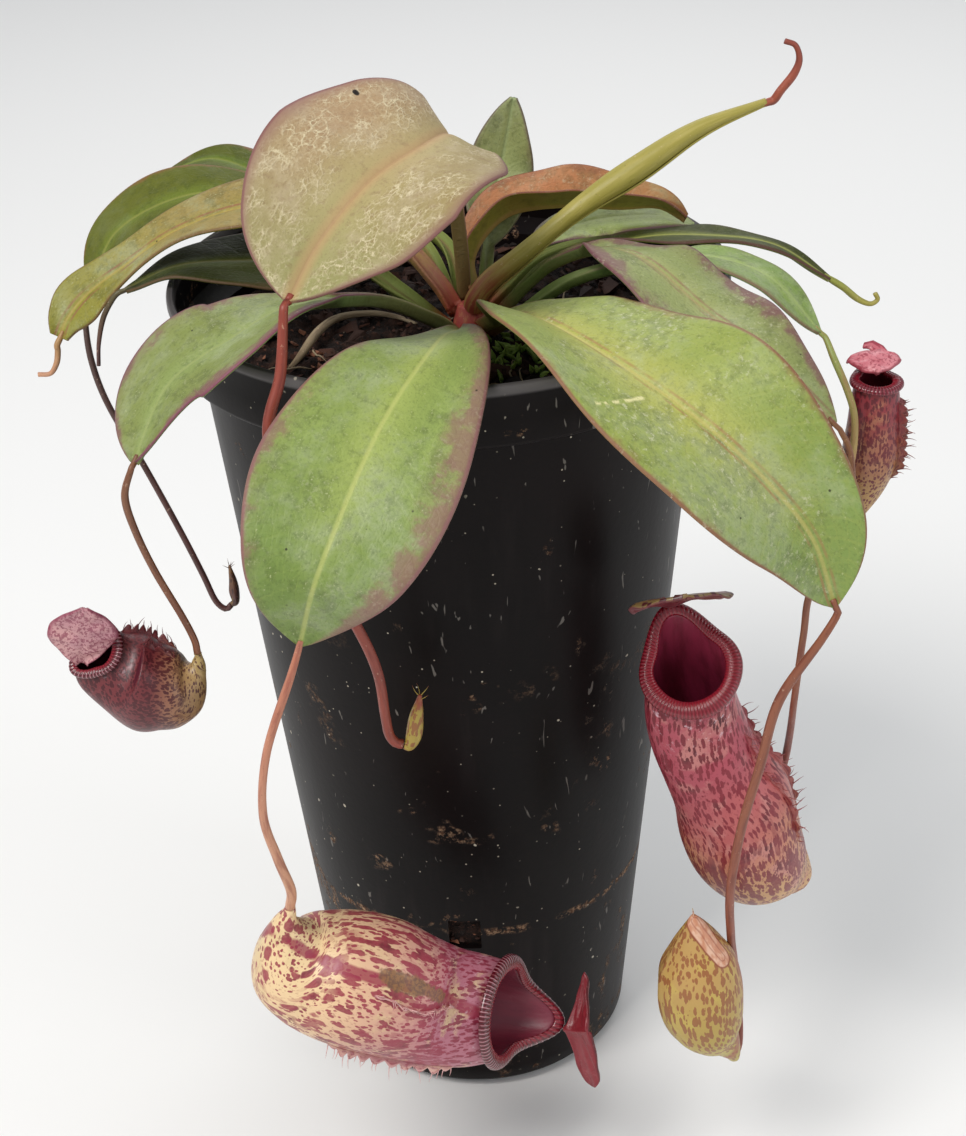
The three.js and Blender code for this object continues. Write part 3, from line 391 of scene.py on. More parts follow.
# Each tendril runs on from the tip of a leaf; its radii at the leaf and at the far end.
TENDRILS = {
    "tendril_front": dict(
        leaf="leaf_front", radii=(1.1, 1.4),
        points=[(-44, -119, 212), (-52, -118, 189), (-55, -116, 168), (-53, -112, 150), (-51, -107, 135),
                (-52, -104.5, 127)]),
    "tendril_arched_bronze": dict(
        leaf="leaf_arched_bronze", radii=(1.5, 1.4),
        points=[(-43, -79, 276), (-47, -84, 262), (-44, -88, 241), (-36, -89, 224), (-28, -89, 206),
                (-24, -87, 191), (-23, -84, 175), (-22.4, -82.5, 168), (-20.8, -82, 164.6),
                (-18.8, -82, 164)]),
    "tendril_front_right": dict(
        leaf="leaf_front_right", radii=(1.3, 1.2),
        points=[(90, -110, 210), (80, -109, 191), (76, -108, 170), (72, -106, 148), (70, -103, 124),
                (72, -94, 100), (75, -83, 80), (77, -79, 63), (77.4, -82, 55), (76.8, -86.5, 50.5),
                (75.6, -89.3, 49.5)]),
    "tendril_right": dict(
        leaf="leaf_right", radii=(1, 1.2),
        points=[(101, -81, 245), (101, -82, 225), (93, -79, 206), (92, -76, 189), (91, -73, 166),
                (93, -60, 148), (95, -46, 130), (95, -38, 110), (98, -36, 96), (101, -42, 89.5)]),
    "tendril_front_left": dict(
        leaf="leaf_front_left", radii=(1, 1),
        points=[(-86, -78, 243), (-85, -76, 232), (-82, -72, 217), (-77, -69, 201), (-74.8, -67, 192),
                (-74.5, -66, 187)]),
    "tendril_left": dict(
        leaf="leaf_left", radii=(0.9, 0.7),
        points=[(-114, 0.5, 250), (-114.8, 0, 246.5), (-117, 0, 243.4), (-120.6, 0, 243.2)]),
    "tendril_left_back": dict(
        leaf="leaf_left_back", radii=(1, 1),
        points=[(-113, 42, 240), (-112, 38, 229), (-108, 34, 216), (-98, 27, 197), (-89, 21, 178),
                (-83, 18, 163), (-80, 18, 153), (-77, 18, 149.5), (-75, 18, 151)]),
    "tendril_left_low": dict(
        leaf="leaf_left_low", radii=(0.8, 0.6),
        points=[(-96, -2, 266), (-99, -3, 261), (-101, -4, 254), (-102, -4, 247)]),
    "tendril_right_back": dict(
        leaf="leaf_right_back", radii=(1, 1.2),
        points=[(104, -38, 254), (107, -42.5, 247), (108.6, -46.5, 241), (108.6, -48.5, 233),
                (107.6, -49, 224), (107.2, -48, 214), (108.2, -46, 208.5), (110.4, -43.4, 206.8)]),
    "tendril_back_narrow": dict(
        leaf="leaf_back_narrow", radii=(1, 0.7),
        points=[(114, 1, 258), (118, 1, 254.5), (121.5, 0, 253.2), (123.6, 0, 254.4), (122.8, 0, 256.4)]),
    "tendril_rolled": dict(
        leaf="leaf_rolled", radii=(1.2, 0.8),
        points=[(95, 11, 314), (98.4, 11, 318.4), (99.8, 11, 322.5), (98.6, 11, 326.4), (95.6, 11, 327.8)]),
}


def lid(width, fold, rib, face):
    """A lid is a short broad leaf that grows from the back of the mouth."""
    same = dict(swell=1, stalk=0.04, wave=0.3, waves=2, stalk_width=1.6)
    return dict(rib=rib, face=face, width=width, fold=fold, **same)


# Each pitcher: its axis from the end of a tendril to the mouth with the girths there, the way the mouth
# opens, the side of the mouth away from the lid, the neck under the lid, and its wings, lip and lid.
PITCHERS = {
    "pitcher_front": dict(
        tendril="tendril_front",
        points=[(-54.5, -103, 119.5), (-56, -102, 112), (-54.5, -101, 105), (-49.5, -100, 101),
                (-40.5, -100, 97.5), (-31, -99, 92.5), (-21, -98.5, 86.5), (-11, -98, 81.5),
                (-2.5, -97, 78.5), (6, -96, 76.5)],
        radii=[1.5, 1.7, 4.2, 9, 13.6, 16.8, 19.2, 19.9, 18.5, 17.2, 16.4, 14.5],
        mouth=(0.89, -0.44, 0.12), front=(-0.41, -0.61, 0.7), neck=0.3, rise=9, wall=1, lip=2.6,
        wings=dict(bearings=(0, 80), start=0.46, end=0.88, teeth=10, height=2.4),
        lid=lid(17, 0.2, [(25.2, -89.4, 62.6), (28.6, -92.8, 64.5), (31, -97, 68)],
                [(0.79, 0.49, -0.32)] * 3)),
    "pitcher_right": dict(
        tendril="tendril_right",
        points=[(98.5, -53, 87.5), (93, -55, 90), (86.5, -58, 96.5), (81.5, -61, 106), (78, -63, 117),
                (75, -64, 129), (69, -65, 141), (65, -66, 152.5), (62.5, -67, 163.5), (62, -68, 175.5)],
        radii=[1.3, 1.6, 5, 9.2, 14.5, 17, 17.8, 17, 14.6, 14.1, 13.2, 12.3],
        mouth=(-0.15, -0.7, 0.7), front=(0.25, -0.7, -0.7), neck=0.35, rise=3, wall=1, lip=2.6,
        wings=dict(bearings=(62, 100), start=0.38, end=0.8, teeth=9, height=1.8),
        lid=lid(14.5, -0.1, [(57.4, -58, 192.2), (59, -68, 199.3), (60, -78, 205.5)],
                [(-0.12, 0.6, 1)] * 3)),
    "pitcher_far_right": dict(
        tendril="tendril_right_back",
        points=[(114.2, -38, 213.5), (115.6, -37.7, 223.5), (116.2, -37.5, 234), (116.2, -37.5, 242.5),
                (116, -37.5, 246)],
        radii=[1.2, 1.6, 5.8, 7.8, 7.2, 6.6, 6.1], mouth=(0.05, -0.05, 1), front=(0.1, -1, 0), neck=0.1,
        rise=1, wall=0.9, lip=1.6,
        wings=dict(bearings=(58, 88), start=0.35, end=0.9, teeth=7, height=2.6),
        lid=lid(7.4, -0.2,
                [(115.6, -28.4, 250.4), (115.7, -31.2, 253.2), (115.8, -35.6, 253.4), (115.8, -41, 251)],
                [(0, -0.7, 0.8), (0, -0.5, 1), (0, -0.4, 1)])),
    "pitcher_left": dict(
        tendril="tendril_front_left",
        points=[(-75, -66, 179.5), (-77.5, -66, 175.8), (-81, -66, 175), (-85.5, -66, 176),
                (-90.5, -66, 177.5), (-95.5, -66, 181), (-99.5, -66, 185), (-102, -66, 189)],
        radii=[1.1, 1.2, 4, 8, 10.8, 12, 13.2, 12, 9.4, 6.8], mouth=(-0.35, -0.6, 0.7),
        front=(0.6, 0.2, 0.7), neck=0.2, rise=1, wall=0.9, lip=1.5,
        wings=dict(bearings=(-20, 25), start=0.4, end=0.88, teeth=7, height=2.6),
        lid=lid(9.2, -0.1, [(-106, -69.6, 187), (-104, -72, 197), (-102, -74, 207)],
                [(0.2, -0.8, 0.55)] * 3)),
}

# The unopened pitchers, and the youngest leaf, which is still rolled up.
PODS = {
    "young_pitcher_right": dict(
        tendril="tendril_front_right",
        points=[(73.6, -92.4, 53), (71.1, -93.4, 58), (68, -94.3, 62.7), (65.6, -95.3, 68.6),
                (63.9, -95.8, 76.2), (63.2, -95.8, 84), (62.9, -95.8, 91.7), (62.2, -95.8, 98.6),
                (61.5, -96.3, 104.6), (60.7, -96.8, 109.9)],
        radii=[1.2, 1.5, 2.8, 5, 7.9, 10.5, 11.8, 11.9, 10.5, 7.2, 4, 0.8]),
    "young_pitcher_front": dict(
        tendril="tendril_arched_bronze", points=[(-15.6, -82, 167), (-14.6, -82, 173), (-13.2, -82, 180)],
        radii=[1.3, 1.6, 2.3, 2, 0.5]),
    "young_pitcher_left": dict(
        tendril="tendril_left_back", points=[(-73.6, 18, 156), (-73.6, 18, 160), (-74.2, 18, 165.5)],
        radii=[1, 1.2, 1.7, 1.3, 0.4]),
}

ROLLED = dict(
    rib=[(7, -3, 259.3), (8, -5, 263), (12, -5, 268), (20, -4, 274), (37, 0, 286), (55, 4, 296),
         (72, 8, 305), (91, 11, 311)],
    radii=[3.4, 3.5, 3.1, 2.8, 3.3, 4, 3.8, 3, 2, 1.2])


# ------------------------------------------------------------------ leaves
def half_width(leaf, t):
    """Half the width of a leaf: a tapering stalk under a rounded blade."""
    along = np.clip((t - leaf["stalk"]) / (1 - leaf["stalk"]), 0, 1)
    arch = np.clip(np.sin(np.pi * along ** leaf["swell"]), 0, None) ** 0.7
    blade = np.where((along > 0) & (along < 1), arch, 0)
    if "outline" in leaf:
        blade = np.clip(smooth_course(leaf["outline"], along), 0, None)
    return np.hypot(leaf["stalk_width"] * (1 - along) + 0.9 * along, leaf["width"] * blade), along


def leaf_frames(leaf, t):
    """The midrib's course, and at shares t of it the place, the way ahead, the way up and the way aside."""
    rib = Route(leaf["rib"])
    ahead = rib.ahead(t)
    face = Route(leaf["face"]).at(t)
    up = unit(face - (face * ahead).sum(-1, keepdims=True) * ahead)
    twist = np.radians(smooth_course(leaf.get("twist", [0, 0]), t))[:, None]
    up = up * np.cos(twist) + np.cross(ahead, up) * np.sin(twist)
    return rib, rib.at(t), ahead, up, np.cross(ahead, up)


def leaf_shape(leaf, seed, rows=110, cols=41):
    """A leaf blade on its channelled stalk, with a sunk midrib above and a keel below.

    v runs across it, -1 to 1, and share along it. ripple waves the margin and swell unevens the blade.
    """
    t = np.linspace(0, 1, rows + 1)
    x = np.linspace(-1, 1, cols)
    v = np.sign(x) * np.abs(x) ** 1.35
    rib, centre, _, up, side = leaf_frames(leaf, t)
    half, along = half_width(leaf, t)
    half, along, share = half[:, None], along[:, None], t[:, None]
    across = half * v
    stalky = 1 - ease(along * 4)
    ripple = leaf["wave"] * v * v * ease(half / leaf["width"])
    ripple = ripple * np.sin(2 * np.pi * leaf["waves"] * share + np.where(v > 0, 0, 1.9))
    phase = seed * 1.7
    swell = 0.45 * np.sin(5.1 * share + phase) * np.cos(2.3 * v + phase)
    swell += 0.25 * np.sin(17 * share + 3 * v + 2 * phase) + 0.18 * np.cos(29 * share - 4 * np.abs(v) + phase)
    lift = half * np.abs(v) * np.sin(leaf["fold"]) + ripple + swell * ease(np.abs(v) * 2) * (1 - stalky)
    lift = lift - 0.38 * np.exp(-((across / 0.9) ** 2)) * (1 - stalky) * (1 - 0.6 * share)
    lift = lift + stalky * (0.8 * np.abs(v) ** 3 - 0.7 * (1 - v * v))
    lift = lift - 0.35 * ease((np.abs(v) - 0.93) / 0.07) * (1 - stalky)
    top = centre[:, None] + steps(side[:, None], across * np.cos(leaf["fold"])) + steps(up[:, None], lift)
    sheet = 0.8 + 0.5 * (1 - np.abs(v)) + 0.9 * (1 - share) * np.exp(-((across / 1.3) ** 2))
    thick = sheet + (2.0 - sheet) * stalky * np.sqrt(np.clip(1.0 - 0.85 * v * v, 0, 1))
    under = top - steps(up[:, None], thick)
    edge_left = (top[:, :1] + under[:, :1]) / 2 - side[:, None] * 0.3
    edge_right = (top[:, -1:] + under[:, -1:]) / 2 + side[:, None] * 0.3
    points = np.concatenate([top, edge_right, under[:, ::-1], edge_left], axis=1)

    def ring(value, right, left):
        value = np.broadcast_to(value, (rows + 1, cols))
        ends = np.ones((rows + 1, 1))
        return np.concatenate([value, ends * right, value[:, ::-1], ends * left], axis=1)

    along_mm = share * rib.length * np.ones_like(across)
    flow = np.stack([
        ring(along_mm, share * rib.length, share * rib.length) * MM,
        ring(across, half, -half) * MM,
        np.full(points.shape[:2], seed * 0.37),
    ], axis=-1)
    shape = Shape()
    shape.grid(
        points, wrap=True, ends=(0, -1), flow=flow,
        share=ring(share, share, share), side=ring(v, 1, -1),
        under=ring(np.zeros(cols), 0.5, 0.5) + np.r_[np.zeros(cols + 1), np.ones(cols), 0][None],
    )
    return shape


def tube(course, radius, rows, sides, shape=None, dimple=None, seed=0.0):
    """A round stem along a course; radius is a row of numbers read along it."""
    t = np.linspace(0, 1, rows + 1)
    first, second = carried_frames(course.ahead(t))
    size = smooth_course(radius, t)[:, None]
    angle = np.linspace(0, 2 * np.pi, sides, endpoint=False)[None]
    if dimple is not None:
        size = size * dimple(t[:, None], angle)
    size = size * np.ones_like(angle)
    out, up = size * np.cos(angle), size * np.sin(angle)
    points = course.at(t)[:, None] + steps(first[:, None], out) + steps(second[:, None], up)
    share = t[:, None] * np.ones_like(angle)
    flow = np.stack([share * course.length, out, up], -1) * MM
    flow[..., 2] += seed * 0.37
    shape = shape or Shape()
    shape.grid(points, wrap=True, ends=(0, -1), flow=flow, share=share)
    return shape


def hair(shape, root, way, length, thickness, rng, curl=0.35):
    """A fine tapering bristle that bends a little."""
    way = unit(np.asarray(way, float))
    bend = unit(rng.normal(size=3)) * curl * length
    bend = bend - way * np.dot(bend, way)
    shares = ((0.35, 0.12), (0.7, 0.45), (1, 1))
    points = [root - way * 0.4] + [root + way * length * far + bend * aside for far, aside in shares]
    tube(Route(points), [thickness, thickness * 0.8, thickness * 0.5, thickness * 0.12], 5, 5, shape)


def rolled_leaf_shape():
    """The youngest leaf: a sheet rolled to a spike, the outer margin lapping over the inner one."""
    course = Route(ROLLED["rib"])
    rows, cols = 120, 44
    t = np.linspace(0, 1, rows + 1)
    first, second = carried_frames(course.ahead(t))
    radius = smooth_course(ROLLED["radii"], t)[:, None]
    turn = np.linspace(0, 1, cols)[None]
    lap_turn = 2 * np.pi * (turn * 1.09) + 2.3 - 0.5 * t[:, None]
    reach = radius * (1 - 0.2 * turn) + 0.05 * np.sin(9 * t[:, None] + 5 * turn)
    reach = reach * (1 + 0.05 * np.exp(-((turn - 0.5) / 0.03) ** 2))

    def skin(r):
        out, up = r * np.cos(lap_turn), r * np.sin(lap_turn)
        return course.at(t)[:, None] + steps(first[:, None], out) + steps(second[:, None], up)

    outer, inner = skin(reach), skin(np.maximum(reach - 0.55, 0.2))
    points = np.concatenate([outer, inner[:, ::-1]], axis=1)
    share = t[:, None] * np.ones((1, 2 * cols))
    around = np.concatenate([turn, turn[:, ::-1]], axis=1) * 20 + 0 * share
    flow = np.stack([share * course.length, around, share * 0 + 900], -1) * MM
    shape = Shape()
    shape.grid(points, wrap=True, ends=(0, -1), flow=flow, share=share)
    return shape


# ------------------------------------------------------------------ pitchers
BEND_EASE = 0.55  # how much of a sharp bend at the foot the rings leave out
LIP_SEAT = 0.5  # the lip stands this far off the cup's edge


def cup_points(pitcher, t, angle, inset=0.0):
    """Points on a pitcher's wall at shares t of its axis and angles round it, with each ring's axis."""
    t, angle = np.broadcast_arrays(np.asarray(t, float), np.asarray(angle, float))
    course = pitcher["course"]
    whole = unit(end_of(course)[0] - course.at(np.array([0.0]))[0])
    lean = (BEND_EASE * ease(t / 0.15))[..., None]
    ahead = unit(course.ahead(t) * (1 - lean) + whole * lean)
    tilt = ease((t - 0.6) / 0.4)[..., None]
    normal = unit(ahead * (1 - tilt) + unit(np.array(pitcher["mouth"], float)) * tilt)
    front = np.array(pitcher["front"], float)
    front = unit(front - (normal * front).sum(-1, keepdims=True) * normal)
    side = np.cross(normal, front)
    from_back = np.abs(np.pi - np.mod(angle, 2 * np.pi))
    near_mouth = ease((t - 0.75) / 0.25)
    crest = near_mouth * np.exp(-((from_back / 0.45) ** 2))
    waist = near_mouth * np.exp(-(((from_back - 0.95) / 0.4) ** 2))
    girth = smooth_course(pitcher["radii"], course.raw(t))
    radius = (girth - inset) * (1 + pitcher["neck"] * crest - 0.08 * waist)
    centre = course.at(t)
    point = centre + steps(front, radius * np.cos(angle)) + steps(side, radius * np.sin(angle))
    point = point + steps(normal, pitcher["rise"] * crest)
    return point, centre, normal, radius


def cup_shape(pitcher, seed, rows=110, cols=96):
    """The hollow cup, up its outside and down its inside."""
    angle = np.linspace(0, 2 * np.pi, cols, endpoint=False)[None]
    outside = (np.arange(rows + 1) / rows)[:, None] ** 0.9
    inside = np.linspace(1, 0.2, int(rows * 0.6))[:, None]
    shape_rows, marks, within = [], [], []
    for t, inset in ((outside, 0.0), (inside, pitcher["wall"])):
        point, centre, _, radius = cup_points(pitcher, t, angle, inset)
        out = unit(point - centre)
        bumps = 0.16 * np.sin(11 * t + 2 * np.sin(angle + seed)) * np.sin(3 * angle + seed) * ease(t * 4)
        shape_rows.append(point + steps(out, bumps * (1 - ease((t - 0.85) / 0.15))))
        share = t * np.ones_like(angle)
        length = pitcher["course"].length
        marks.append(np.stack([share * length, radius * np.cos(angle), radius * np.sin(angle)], -1) * MM)
        within.append(np.full(share.shape, float(inset > 0)))
    points = np.concatenate(shape_rows)
    flow = np.concatenate(marks)
    flow[..., 1] += seed * 0.37
    share = np.concatenate([outside, inside]) * np.ones_like(angle)
    shape = Shape()
    shape.grid(points, wrap=True, ends=(0, -1), flow=flow, share=share, within=np.concatenate(within),
               frill=0 * share)
    return shape


def wing(shape, pitcher, bearing, rng, bristle):
    """A thin frilled wing down the front of a pitcher, with bristles at its teeth."""
    wings = pitcher["wings"]
    rows, layers = 120, 6
    t = np.linspace(wings["start"], wings["end"], rows + 1)[:, None]
    turn = math.radians(bearing)
    root, centre, normal, _ = cup_points(pitcher, t, turn)
    out = unit(root - centre)
    before, _, _, _ = cup_points(pitcher, t, turn - 0.1)
    flank = unit(root - before)
    span = (t - wings["start"]) / (wings["end"] - wings["start"])
    teeth = np.abs(np.sin(np.pi * wings["teeth"] * span)) ** 1.3
    height = wings["height"] * (0.35 + 0.65 * teeth) * ease(span * 6) * ease((1 - span) * 6 + 0.25)
    layer = np.linspace(-0.3, 1, layers)[None]
    frill = 0.55 * np.sin(2 * np.pi * wings["teeth"] * 0.5 * span) * layer**2
    sheet = root + steps(out, height * layer) + steps(flank, frill)
    height_share = np.clip(layer, 0, 1)
    half = steps(flank, 0.32 - 0.2 * height_share)
    points = np.concatenate([sheet + half, (sheet - half)[:, ::-1]], 1)
    share = t * np.ones((1, 2 * layers))
    mark = np.concatenate([height_share, height_share[:, ::-1]], 1) + 0 * share
    flow = np.stack([share * pitcher["course"].length, mark * 3 + 8, share * 0], -1) * MM
    shape.grid(points, wrap=True, ends=(0, -1), flow=flow, share=share, within=0 * share,
               frill=0.25 + 0.75 * mark)
    first = len(shape.points)
    for k in range(int(wings["teeth"]) * 2):
        place = (k + 0.5 + 0.5 * rng.uniform(-1, 1)) / (wings["teeth"] * 2)
        row = int(np.clip(place, 0, 1) * rows)
        tip = root[row, 0] + out[row, 0] * height[row, 0]
        way = out[row, 0] + 0.5 * flank[row, 0] * rng.uniform(-1, 1)
        way = way + 0.4 * normal[row, 0] * rng.uniform(-0.4, 1)
        hair(shape, tip, way, bristle * rng.uniform(0.35, 1.1), 0.17, rng)
    for readings in shape.readings[first:]:
        readings["frill"] = np.ones(len(readings["share"]))
        readings["share"] = np.full(len(readings["share"]), 0.5 * (wings["start"] + wings["end"]))


def lip_shape(pitcher, ribs):
    """The hard ribbed lip rolled outwards round the mouth."""
    cols = ribs * 6
    angle = np.linspace(0, 2 * np.pi, cols, endpoint=False)
    ring, centre, normal, _ = cup_points(pitcher, np.ones(cols), angle, pitcher["wall"] / 2)
    out = unit(ring - centre)
    size, seat = pitcher["lip"], LIP_SEAT
    inner, outer = -pitcher["wall"] / 2, pitcher["wall"] / 2
    corners = np.array([
        (inner - 0.35 * size, seat), (inner - 0.2 * size, seat + 0.42 * size),
        (outer + 0.25 * size, seat + 0.55 * size), (outer + 0.8 * size, seat + 0.25 * size),
        (outer + 0.9 * size, seat - 0.25 * size), (outer + 0.35 * size, seat),
    ])
    around = np.linspace(0, 1, 24, endpoint=False)
    closed = np.vstack([corners[-2:], corners, corners[:3]])
    section = smooth_course(closed, (2 + around * 6) / (len(closed) - 1))
    weight = ease((section[:, 1] - seat + 0.35) / 0.6) * (1 - 0.5 * ease((inner - section[:, 0]) / 0.8))
    rib = 0.5 + 0.5 * np.cos(ribs * angle)
    grow = 1 + 0.05 * np.sin(5 * angle + 1) + 0.12 * np.cos(angle)
    points = ring[:, None] + steps(out[:, None], section[:, 0] * grow[:, None])
    points = points + steps(normal[:, None], section[:, 1] + 0.16 * rib[:, None] * weight)
    shape = Shape()
    spread = np.clip((section[:, 0] - section[:, 0].min()) / np.ptp(section[:, 0]), 0, 1)
    shape.grid(points, wrap=True, wrap_rows=True, rib=rib[:, None] + 0 * around,
               spread=spread[None] + 0 * angle[:, None])
    return shape


# ------------------------------------------------------------------ leaf and stem looks
def near_line(look, points):
    """How far a place lies from a line through points in millimetres, in metres."""
    closest = None
    where = look.place()
    for a, b in zip(points, points[1:]):
        a, b = np.array(a) * MM, np.array(b) * MM
        run = b - a
        gap = look.vector("SUBTRACT", where, tuple(a))
        along = look.vector("DOT_PRODUCT", gap, tuple(run), out=1)
        share = look.node("ShaderNodeClamp", None, {"Value": along / float(run @ run)})
        foot = look.node("ShaderNodeVectorMath", {"operation": "SCALE"}, {0: tuple(run), "Scale": share})
        away = look.vector("DISTANCE", gap, foot, out=1)
        closest = away if closest is None else look.maths("MINIMUM", closest, away)
    return closest


def bent(look, where, scale, by):
    """A place pushed about by noise."""
    push = look.node("ShaderNodeTexNoise", None, {"Vector": where, "Scale": scale, "Detail": 2.0}, out=1)
    push = look.scaled(push, by, by, by)
    return look.vector("ADD", where, push)


def leaf_look(name, tones, margin, neck, stalk="#7d8a48", margin_side=0, margin_width=0.1, blush=0.4,
              dust=0.15, glow_width=0.35, base=None, end=None, lines=None, scars=(), powder=1.0):
    """A waxy blade: mottled greens, a glow along the midrib, faint veins, scurf and a blotched margin.

    margin_side moves the blush to one side, neck is the share that is stalk, base and end tint the ends of
    the blade, lines edge the midrib, scars are pale scratches, and powder is the strength of the bloom.
    """
    main, second, glow, rib, under = tones.split()
    look = Look(name)
    flow = look.flow()
    side, share, below = look.stored("side"), look.stored("share"), look.stored("under")
    edge = side.size()
    along, across = look.part_of(flow, "X"), look.part_of(flow, "Y").size()
    broad = look.noise(flow, 26, 3, 0.55)
    cloud = look.noise(flow, 75, 4, 0.6)
    fine = look.noise(flow, 330, 4, 0.62)
    grain = look.noise(flow, 1300, 3, 0.65)
    colour = look.blend(main, second, (broad * 0.6 + cloud * 0.5).over(0.42, 0.68))
    near_rib = (edge + broad * 0.3).over(glow_width + 0.25, 0.1)
    colour = colour.coat(glow, near_rib * 0.75)
    if base:
        colour = colour.coat(base, (share + broad * 0.2).over(0.42, 0.15) * 0.8)
    if end:
        colour = colour.coat(end, (share + broad * 0.2).over(0.7, 1.02) * 0.85)
    slant = (along - across * 0.75) * 1150 + look.noise(flow, 60, 2) * 5
    side_vein = slant.wave().over(0.75, 1.0) * edge.over(0.02, 0.12)
    long_vein = ((edge * 31.4 + broad * 1.2).wave()).over(0.9, 1.0)
    net = look.cells(look.scaled(bent(look, flow, 500, 0.001), 0.6, 1, 1), 480, "DISTANCE_TO_EDGE")
    veins = side_vein * 0.35 + long_vein * 0.3 + net.over(0.14, 0.03) * 0.35
    colour = colour.coat(glow, veins * (0.14 * powder + 0.05))
    bloom = (look.noise(flow, 34, 5, 0.68) + share * 0.1).over(0.52, 0.7)
    colour = colour.coat("#b3bc98", bloom * (fine.over(0.3, 0.6) * 0.3 + 0.12) * powder)
    colour = colour.coat("#2c3a14", (cloud * 0.5 + fine * 0.6).over(0.5, 0.7) * 0.36)
    colour = colour.coat("#33401a", grain.over(0.5, 0.72) * 0.28)
    colour = colour.coat("#dfe2b0", grain.over(0.44, 0.3) * fine.over(0.5, 0.62) * 0.35 * powder)
    reach = edge + cloud * 0.5 - 0.25
    if margin_side:
        reach = reach + side * (margin_side * 0.12) - 0.05
    flush = reach.over(1.0 - margin_width * 2.4, 1.02)
    blot = look.noise(flow, 210, 4, 0.7)
    speck = (blot * 0.6 + look.noise(flow, 62, 3, 0.6) * 0.6 + flush * 0.2).over(0.64, 0.8)
    speck = speck * flush.over(0.0, 0.4)
    colour = colour.coat(margin, flush * (blush * 0.25 + 0.05) + speck * blush * 0.75)
    colour = colour.coat(margin, edge.over(0.955, 0.99) * 0.85)
    midrib = across.over(0.0009, 0.0002) * (fine * 0.7 + 0.3)
    if lines:
        beside = (across - 0.0015).size().over(0.0006, 0.0001)
        colour = colour.coat(lines, beside * look.noise(flow, 140, 2).over(0.3, 0.6) * 0.6)
    colour = colour.coat(rib, midrib * 0.85)
    scurf = look.noise(flow, 620, 5, 0.75).over(0.54, 0.64) * cloud.over(0.42, 0.62)
    colour = colour.coat("#d6d4b4", scurf * dust * powder)
    spots = look.cells(flow, 150).over(0.062, 0.035) * look.noise(flow, 42, 1).over(0.48, 0.58)
    colour = colour.coat("#241d10", spots * 0.85)
    for scar in scars:
        away = near_line(look, scar) + (fine - 0.5) * 0.0016
        colour = colour.coat("#e3dba0", away.over(0.0011, 0.0003) * fine.over(0.4, 0.52) * 0.85)
    on_stalk = share.over(neck + 0.02, neck - 0.14)
    streaky = look.noise(look.scaled(flow, 0.1, 1, 1), 800, 3)
    stalk_tone = look.blend(stalk, rib, streaky.over(0.4, 0.7) * 0.5)
    stalk_tone = stalk_tone.coat(lines or margin, across.over(0.0009, 0.0002) * 0.5)
    stalk_tone = stalk_tone.coat("#b04a3e", share.over(0.09, 0.0) * 0.85)
    colour = colour.coat(stalk_tone, on_stalk * 0.92)
    lower = look.blend(under, glow, look.noise(flow, 60, 3).over(0.35, 0.7) * 0.35)
    lower = lower.coat("#39421c", fine.over(0.45, 0.7) * 0.3)
    lower = lower.coat(rib, across.over(0.0018, 0.0008) * 0.6)
    lower = lower.coat(stalk_tone, on_stalk * 0.8)
    colour = colour.coat(lower, below.over(0.4, 0.6))
    height = veins * -0.28 + cloud * 0.6 + fine * 0.35 + grain * 0.12
    rough = 0.4 + fine * 0.16 + grain * 0.08
    return look.done(colour, rough, height, 0.45, 0.0007, Specular_IOR_Level=0.15 + 0.22 * powder)


def dusty_leaf_look(name):
    """The bronze leaf, with a pale fine-threaded net of scurf between its veins."""
    look = Look(name)
    flow = look.flow()
    side, share, below = look.stored("side"), look.stored("share"), look.stored("under")
    edge = side.size()
    across = look.part_of(flow, "Y").size()
    broad, cloud = look.noise(flow, 24, 3), look.noise(flow, 80, 4, 0.6)
    fine, grain = look.noise(flow, 420, 4, 0.65), look.noise(flow, 1500, 3, 0.65)
    colour = look.blend("#9c8a5c", "#aa8e6c", (side * 0.35 + broad).over(0.3, 0.75))
    colour = colour.coat("#b4a872", (edge + broad * 0.3).over(0.75, 0.15) * 0.6)
    colour = colour.coat("#8d9058", (share + broad * 0.1).over(0.72, 1.05) * 0.75)
    colour = colour.coat("#83664c", fine.over(0.5, 0.68) * 0.35)
    away = edge.over(0.1, 0.3) * edge.over(1.02, 0.86)
    threads = 0.0
    for scale, by, width, much in ((380, 0.0018, 0.1, 0.8), (760, 0.001, 0.14, 0.6)):
        where = look.scaled(bent(look, flow, scale * 1.4, by), 0.75, 1.15, 1)
        threads = threads + look.cells(where, scale, "DISTANCE_TO_EDGE").over(width, 0.02) * much
    patch = look.noise(flow, 120, 4, 0.65)
    net = threads * (patch + cloud * 0.4).over(0.56, 0.82) * away
    colour = colour.coat("#dccfaa", net * fine.over(0.34, 0.54) * 0.62)
    colour = colour.coat("#c0b094", look.noise(flow, 90, 5, 0.7).over(0.45, 0.7) * away * 0.4)
    colour = colour.coat("#6d5a3c", grain.over(0.52, 0.7) * 0.3)
    colour = colour.coat("#8a625c", (edge + broad * 0.2).over(0.93, 1.12) * 0.75)
    colour = colour.coat("#7d4f50", edge.over(0.965, 0.99) * 0.7)
    colour = colour.coat("#b8966c", across.over(0.0034, 0.0006) * 0.6)
    colour = colour.coat("#a5805c", across.over(0.0008, 0.0002) * 0.4)
    dot = near_line(look, [(-21.9, -24.9, 330), (-21.3, -25.6, 330)])
    colour = colour.coat("#1d1612", dot.over(0.0009, 0.0005))
    colour = colour.coat("#7c6a3c", below.over(0.4, 0.6) * 0.85)
    height = net * 0.4 + cloud * 0.4 + fine * 0.4 + grain * 0.1
    return look.done(colour, 0.52 + fine * 0.14, height, 0.45, 0.0006, Specular_IOR_Level=0.3)


